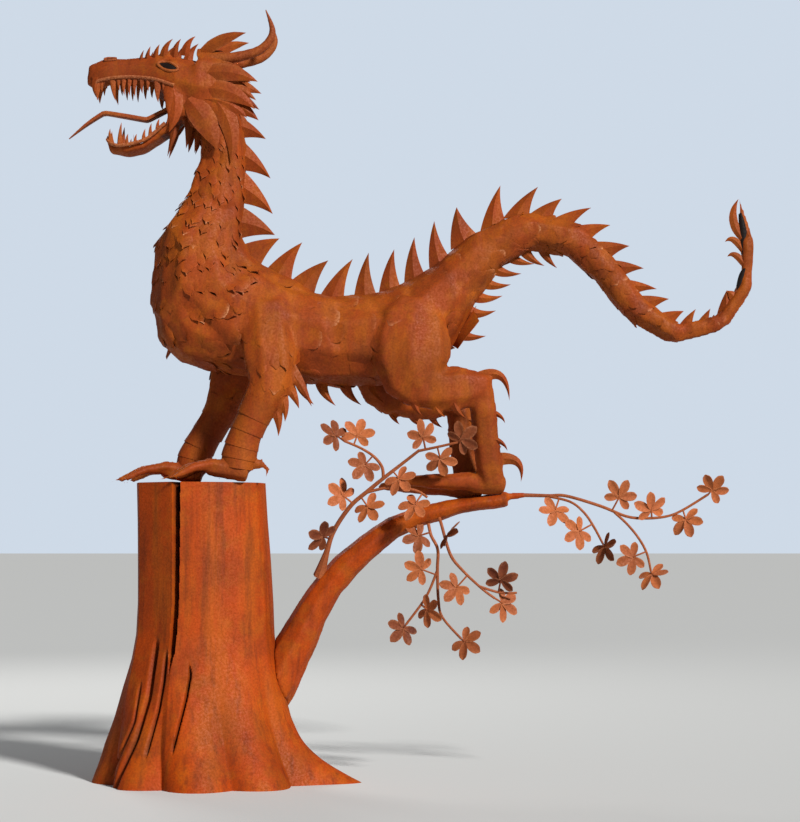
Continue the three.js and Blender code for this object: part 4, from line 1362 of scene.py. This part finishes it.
def trunk_point(angle, height, slit_depth):
    """A place on the trunk in millimetres, and how much painted shade it gets in the slit and the creases."""
    half_width, half_depth, middle = trunk_row(height)
    fold_share = max(0.0, 1 - height / 820) ** 1.4
    fold = abs(math.cos(4.5 * (angle + 0.22)))
    scale = 1 + 0.17 * fold_share * (fold - 0.55)
    scale *= 1.0 + (panel_share(angle) - 1.0) * (1.0 - fold_share)
    slit_angle = -1.85 - 0.08 * min(1.0, (STUMP_HEIGHT - height) / 950)
    open_share = min(1.0, max(0.0, (height - 700) / 150))
    away = abs(apart(angle, slit_angle))
    half_slit = 0.04 * open_share + 0.0001
    slit = open_share * min(1.0, max(0.0, 1.35 - away / half_slit) / 0.3)
    scale -= slit_depth * slit / half_depth
    root_share = max(0.0, 1 - height / 330) ** 2.2
    root = 235 * root_share * math.exp(-((apart(angle, -0.12) / 0.2) ** 2))
    half_width *= 1.0 + (0.065 if math.cos(angle) < 0 else 0.02) * (1.0 - fold_share)
    x = middle + (half_width * scale + root) * math.cos(angle)
    y = (half_depth * scale + root * 0.5) * math.sin(angle)
    # Painted shade: the slit and the creases get dark colour as well as being cut in.
    shade = slit
    if y < 0:
        for half_crease, depth, places in CREASES:
            mark_x = crease_at(places, height)
            if mark_x is None:
                continue
            ends = min(1.0, (places[0][1] - height) / 70.0, (height - places[-1][1]) / 60.0 + 0.3)
            cut = max(0.0, ends) * math.exp(-(((x - mark_x) / half_crease) ** 2))
            inward = 1.0 - depth * cut / math.hypot(x - middle, y)
            x, y = middle + (x - middle) * inward, y * inward
            shade = max(shade, cut)
    return x, y, shade


def crease_at(places, height):
    """Where a crease lies at a height, or None above and below it."""
    for (x0, z0), (x1, z1) in zip(places, places[1:]):
        if z1 <= height <= z0:
            return x0 + (x1 - x0) * (z0 - height) / (z0 - z1)
    return None


class TREE_OT_stump(bpy.types.Operator):
    """Stump of folded sheet with a slit, creased roots and a flat top"""

    bl_idname = "dragon.stump"
    bl_label = "Stump"

    def execute(self, context):
        slit_depth = context.scene.tree_sizes.slit_depth * 1000.0
        bm = bmesh.new()
        bmesh.ops.create_cone(bm, cap_ends=True, segments=360, radius1=1.0, radius2=1.0, depth=1.0)
        upright = [e for e in bm.edges if abs(e.verts[0].co.z - e.verts[1].co.z) > 0.5]
        bmesh.ops.subdivide_edges(bm, edges=upright, cuts=110, use_grid_fill=True)
        tone_layer, _ = new_layers(bm)
        for vert in bm.verts:
            turn = math.atan2(vert.co.y, vert.co.x)
            angle = turn - 0.55 * math.sin(turn + 2.1)
            height = min(max(vert.co.z + 0.5, 0.0), 1.0) * STUMP_HEIGHT
            x, y, shade = trunk_point(angle, height, slit_depth)
            vert.co = mm(x, y, height)
            ripple = noise.noise(Vector((x * 0.004, y * 0.004, height * 0.0012)))
            vert.co += Vector((x, y, 0.0)).normalized() * 0.006 * ripple
            # Painted shade: tone drops almost to nothing in the slit and the creases.
            vert[tone_layer] = (0.94 + 0.06 * ripple) * (1.0 - 0.97 * shade)
        finish_piece("stump_skin", bm, trunk_finish(), ("tree_stump",), math.radians(32))
        return {"FINISHED"}


class TREE_OT_branch(bpy.types.Operator):
    """Thick branch that carries the hind feet"""

    bl_idname = "dragon.branch"
    bl_label = "Branch"

    def execute(self, context):
        bm = hammered_copy("tree_branch", context.scene.tree_sizes.skin_voxel, 5)
        dent(bm, 0.008, 5.0)
        mark(bm, lambda place: 0.92 + 0.08 * noise.noise(place * 5.0))
        finish_piece("branch_skin", bm, trunk_finish(), ("tree_branch",))
        return {"FINISHED"}


def twig(bm, rows):
    """A rod along its places, and the places on it that leaves may spring from."""
    points = [mm(x, y, z) for x, y, z, _ in rows]
    radii = [mm(radius, 0, 0) for _, _, _, radius in rows]

    def section(share, angle):
        radius = through(radii, share).x
        return radius * math.cos(angle), radius * math.sin(angle)

    add_marked(bm, sweep(lambda share: through(points, share), section, 8, 6 * len(rows)), 0.7)
    return [through(points, k / 40) for k in range(41)]


def steel_leaf(bm, centre, near, order, sizes, rng):
    """A palmate leaf of five bent leaflets on a stalk from its twig."""
    forward = (centre - near).normalized()
    turn = 0.45 * math.sin(2.4 * order + 0.6)
    tilt = 0.4 * math.cos(1.7 * order)
    face = Vector((turn, -1.0, tilt))
    face = (face - forward * face.dot(forward)).normalized()
    across = face.cross(forward)
    # Painted shade: a low tone darkens some leaves, as if they lay in shade; their stalks follow.
    tone = rng.choice((0.25, 0.5, 0.8, 0.95, 1.0))
    stalk = bezier(near, near.lerp(centre, 0.5) + face * 0.006, centre)
    rod = sweep(stalk, lambda share, angle: (0.006 * math.cos(angle), 0.006 * math.sin(angle)), 6, 6, face)
    add_marked(bm, rod, tone * 0.8)
    for leaflet, share in zip(LEAFLET_TURNS, LEAFLET_REACHES):
        heading = forward * math.cos(leaflet) + across * math.sin(leaflet)
        aside = face.cross(heading)
        reach = sizes.leaf_reach * share * rng.uniform(0.94, 1.02)
        droop = rng.uniform(-0.16, 0.26)
        twist = rng.uniform(-0.3, 0.3)
        part = bmesh.new()
        tone_layer, wear_layer = new_layers(part)
        bmesh.ops.create_grid(part, x_segments=4, y_segments=8, size=1.0)
        for vert in part.verts:
            u, v = vert.co.x, (vert.co.y + 1.0) * 0.5
            half = reach * (0.04 + 0.6 * v**0.95 * (1.0 - v) ** 0.6)
            trough = 0.3 * half * (abs(u) - 0.4) + twist * u * half
            bow = -droop * reach * v**2
            vert.co = centre + heading * (v * reach) + aside * (u * half) + face * (trough + bow)
            vert[tone_layer] = tone
            vert[wear_layer] = max(abs(u) ** 3, v**5) * 0.5
        bmesh.ops.solidify(part, geom=part.faces, thickness=sizes.leaf_thickness)
        join(bm, part)


class TREE_OT_leaves(bpy.types.Operator):
    """Twigs with palmate leaves"""

    bl_idname = "dragon.leaves"
    bl_label = "Leaves"

    def execute(self, context):
        sizes = context.scene.tree_sizes
        rng = random.Random(31)
        for node, (twigs, leaves) in SPRAYS.items():
            bm = bmesh.new()
            samples = [spot for rows in twigs for spot in twig(bm, rows)]
            for order, row in enumerate(leaves):
                centre = mm(*row)
                near = min(samples, key=lambda spot: (spot - centre).length)
                steel_leaf(bm, centre, near, order, sizes, rng)
            finish_piece(node.replace("leaf_spray", "leaves"), bm, leaf_finish(), (node,))
        return {"FINISHED"}


# Stage


class DRAGON_OT_studio(bpy.types.Operator):
    """Pale floor, soft lights and the camera"""

    bl_idname = "dragon.studio"
    bl_label = "Studio"

    def execute(self, context):
        settings = context.scene.studio_settings
        scene = context.scene
        scene.view_settings.view_transform = "Standard"
        bm = bmesh.new()
        bmesh.ops.create_grid(bm, x_segments=1, y_segments=1, size=400.0)
        mesh = bpy.data.meshes.new("floor")
        bm.to_mesh(mesh)
        bm.free()
        floor = bpy.data.objects.new("floor", mesh)
        scene.collection.objects.link(floor)
        pale = bpy.data.materials.new("Pale floor")
        pale.use_nodes = True
        pale.node_tree.nodes["Principled BSDF"].inputs["Base Color"].default_value = (0.6, 0.6, 0.58, 1.0)
        pale.node_tree.nodes["Principled BSDF"].inputs["Roughness"].default_value = 0.9
        mesh.materials.append(pale)

        target = Vector((1.2, 0.0, 2.6))
        for name, kind, place, size, power in (
            ("key_light", "SUN", Vector((8.0, -9.0, 9.5)), math.radians(7.0), settings.key_power),
            ("fill_light", "AREA", Vector((-6.0, -11.0, 4.0)), 6.0, settings.key_power * 10.0),
            ("rim_light", "AREA", Vector((-4.0, 10.0, 9.0)), 4.0, settings.key_power * 90.0),
        ):
            light = bpy.data.lights.new(name, kind)
            light.energy = power
            if kind == "SUN":
                light.angle = size
            else:
                light.size = size
            lamp = bpy.data.objects.new(name, light)
            lamp.location = place
            lamp.rotation_euler = (target - place).to_track_quat("-Z", "Y").to_euler()
            scene.collection.objects.link(lamp)

        world = bpy.data.worlds.new("room")
        world.use_nodes = True
        nodes, links = world.node_tree.nodes, world.node_tree.links
        glow = nodes["Background"]
        glow.inputs["Color"].default_value = (0.84, 0.9, 1.0, 1.0)
        glow.inputs["Strength"].default_value = settings.room_light
        wall = nodes.new("ShaderNodeBackground")
        wall.inputs["Color"].default_value = (0.62, 0.7, 0.8, 1.0)
        seen = nodes.new("ShaderNodeMixShader")
        links.new(nodes.new("ShaderNodeLightPath").outputs["Is Camera Ray"], seen.inputs["Fac"])
        links.new(glow.outputs["Background"], seen.inputs[1])
        links.new(wall.outputs["Background"], seen.inputs[2])
        links.new(seen.outputs["Shader"], nodes["World Output"].inputs["Surface"])
        scene.world = world

        lens = bpy.data.cameras.new("camera")
        lens.lens = settings.focal_length
        lens.sensor_width = 36.0
        camera = bpy.data.objects.new("camera", lens)
        camera.location = (settings.aside, -settings.distance, settings.eye_height)
        camera.rotation_euler = (math.pi / 2 + settings.pitch, 0.0, 0.0)
        scene.collection.objects.link(camera)
        scene.camera = camera
        return {"FINISHED"}


class DRAGON_PT_panel(bpy.types.Panel):
    """Lists the steps that build the dragon"""

    bl_idname = "DRAGON_PT_panel"
    bl_label = "Forged dragon"
    bl_space_type = "VIEW_3D"
    bl_region_type = "UI"
    bl_category = "Dragon"

    def draw(self, context):
        for group in ("dragon_sizes", "tree_sizes", "rust_colours", "studio_settings"):
            settings = getattr(context.scene, group)
            for name in settings.bl_rna.properties.keys():
                if name not in ("rna_type", "name"):
                    self.layout.prop(settings, name)
        for operator in OPERATORS:
            self.layout.operator(operator.bl_idname)


SETTINGS = {
    "dragon_sizes": DragonSizes,
    "tree_sizes": TreeSizes,
    "rust_colours": RustColours,
    "studio_settings": StudioSettings,
}
OPERATORS = (
    DRAGON_OT_skin,
    DRAGON_OT_crest,
    DRAGON_OT_head,
    DRAGON_OT_legs,
    TREE_OT_stump,
    TREE_OT_branch,
    TREE_OT_leaves,
    DRAGON_OT_studio,
)


def register():
    for cls in (*SETTINGS.values(), *OPERATORS, DRAGON_PT_panel):
        bpy.utils.register_class(cls)
    for name, cls in SETTINGS.items():
        setattr(bpy.types.Scene, name, bpy.props.PointerProperty(type=cls))


def unregister():
    for name in SETTINGS:
        delattr(bpy.types.Scene, name)
    for cls in reversed((*SETTINGS.values(), *OPERATORS, DRAGON_PT_panel)):
        bpy.utils.unregister_class(cls)


def main():
    register()
    bpy.ops.dragon.skin()
    bpy.ops.dragon.crest()
    bpy.ops.dragon.head()
    bpy.ops.dragon.legs()
    bpy.ops.dragon.stump()
    bpy.ops.dragon.branch()
    bpy.ops.dragon.leaves()
    bpy.ops.dragon.studio()


if __name__ == "__main__":
    main()
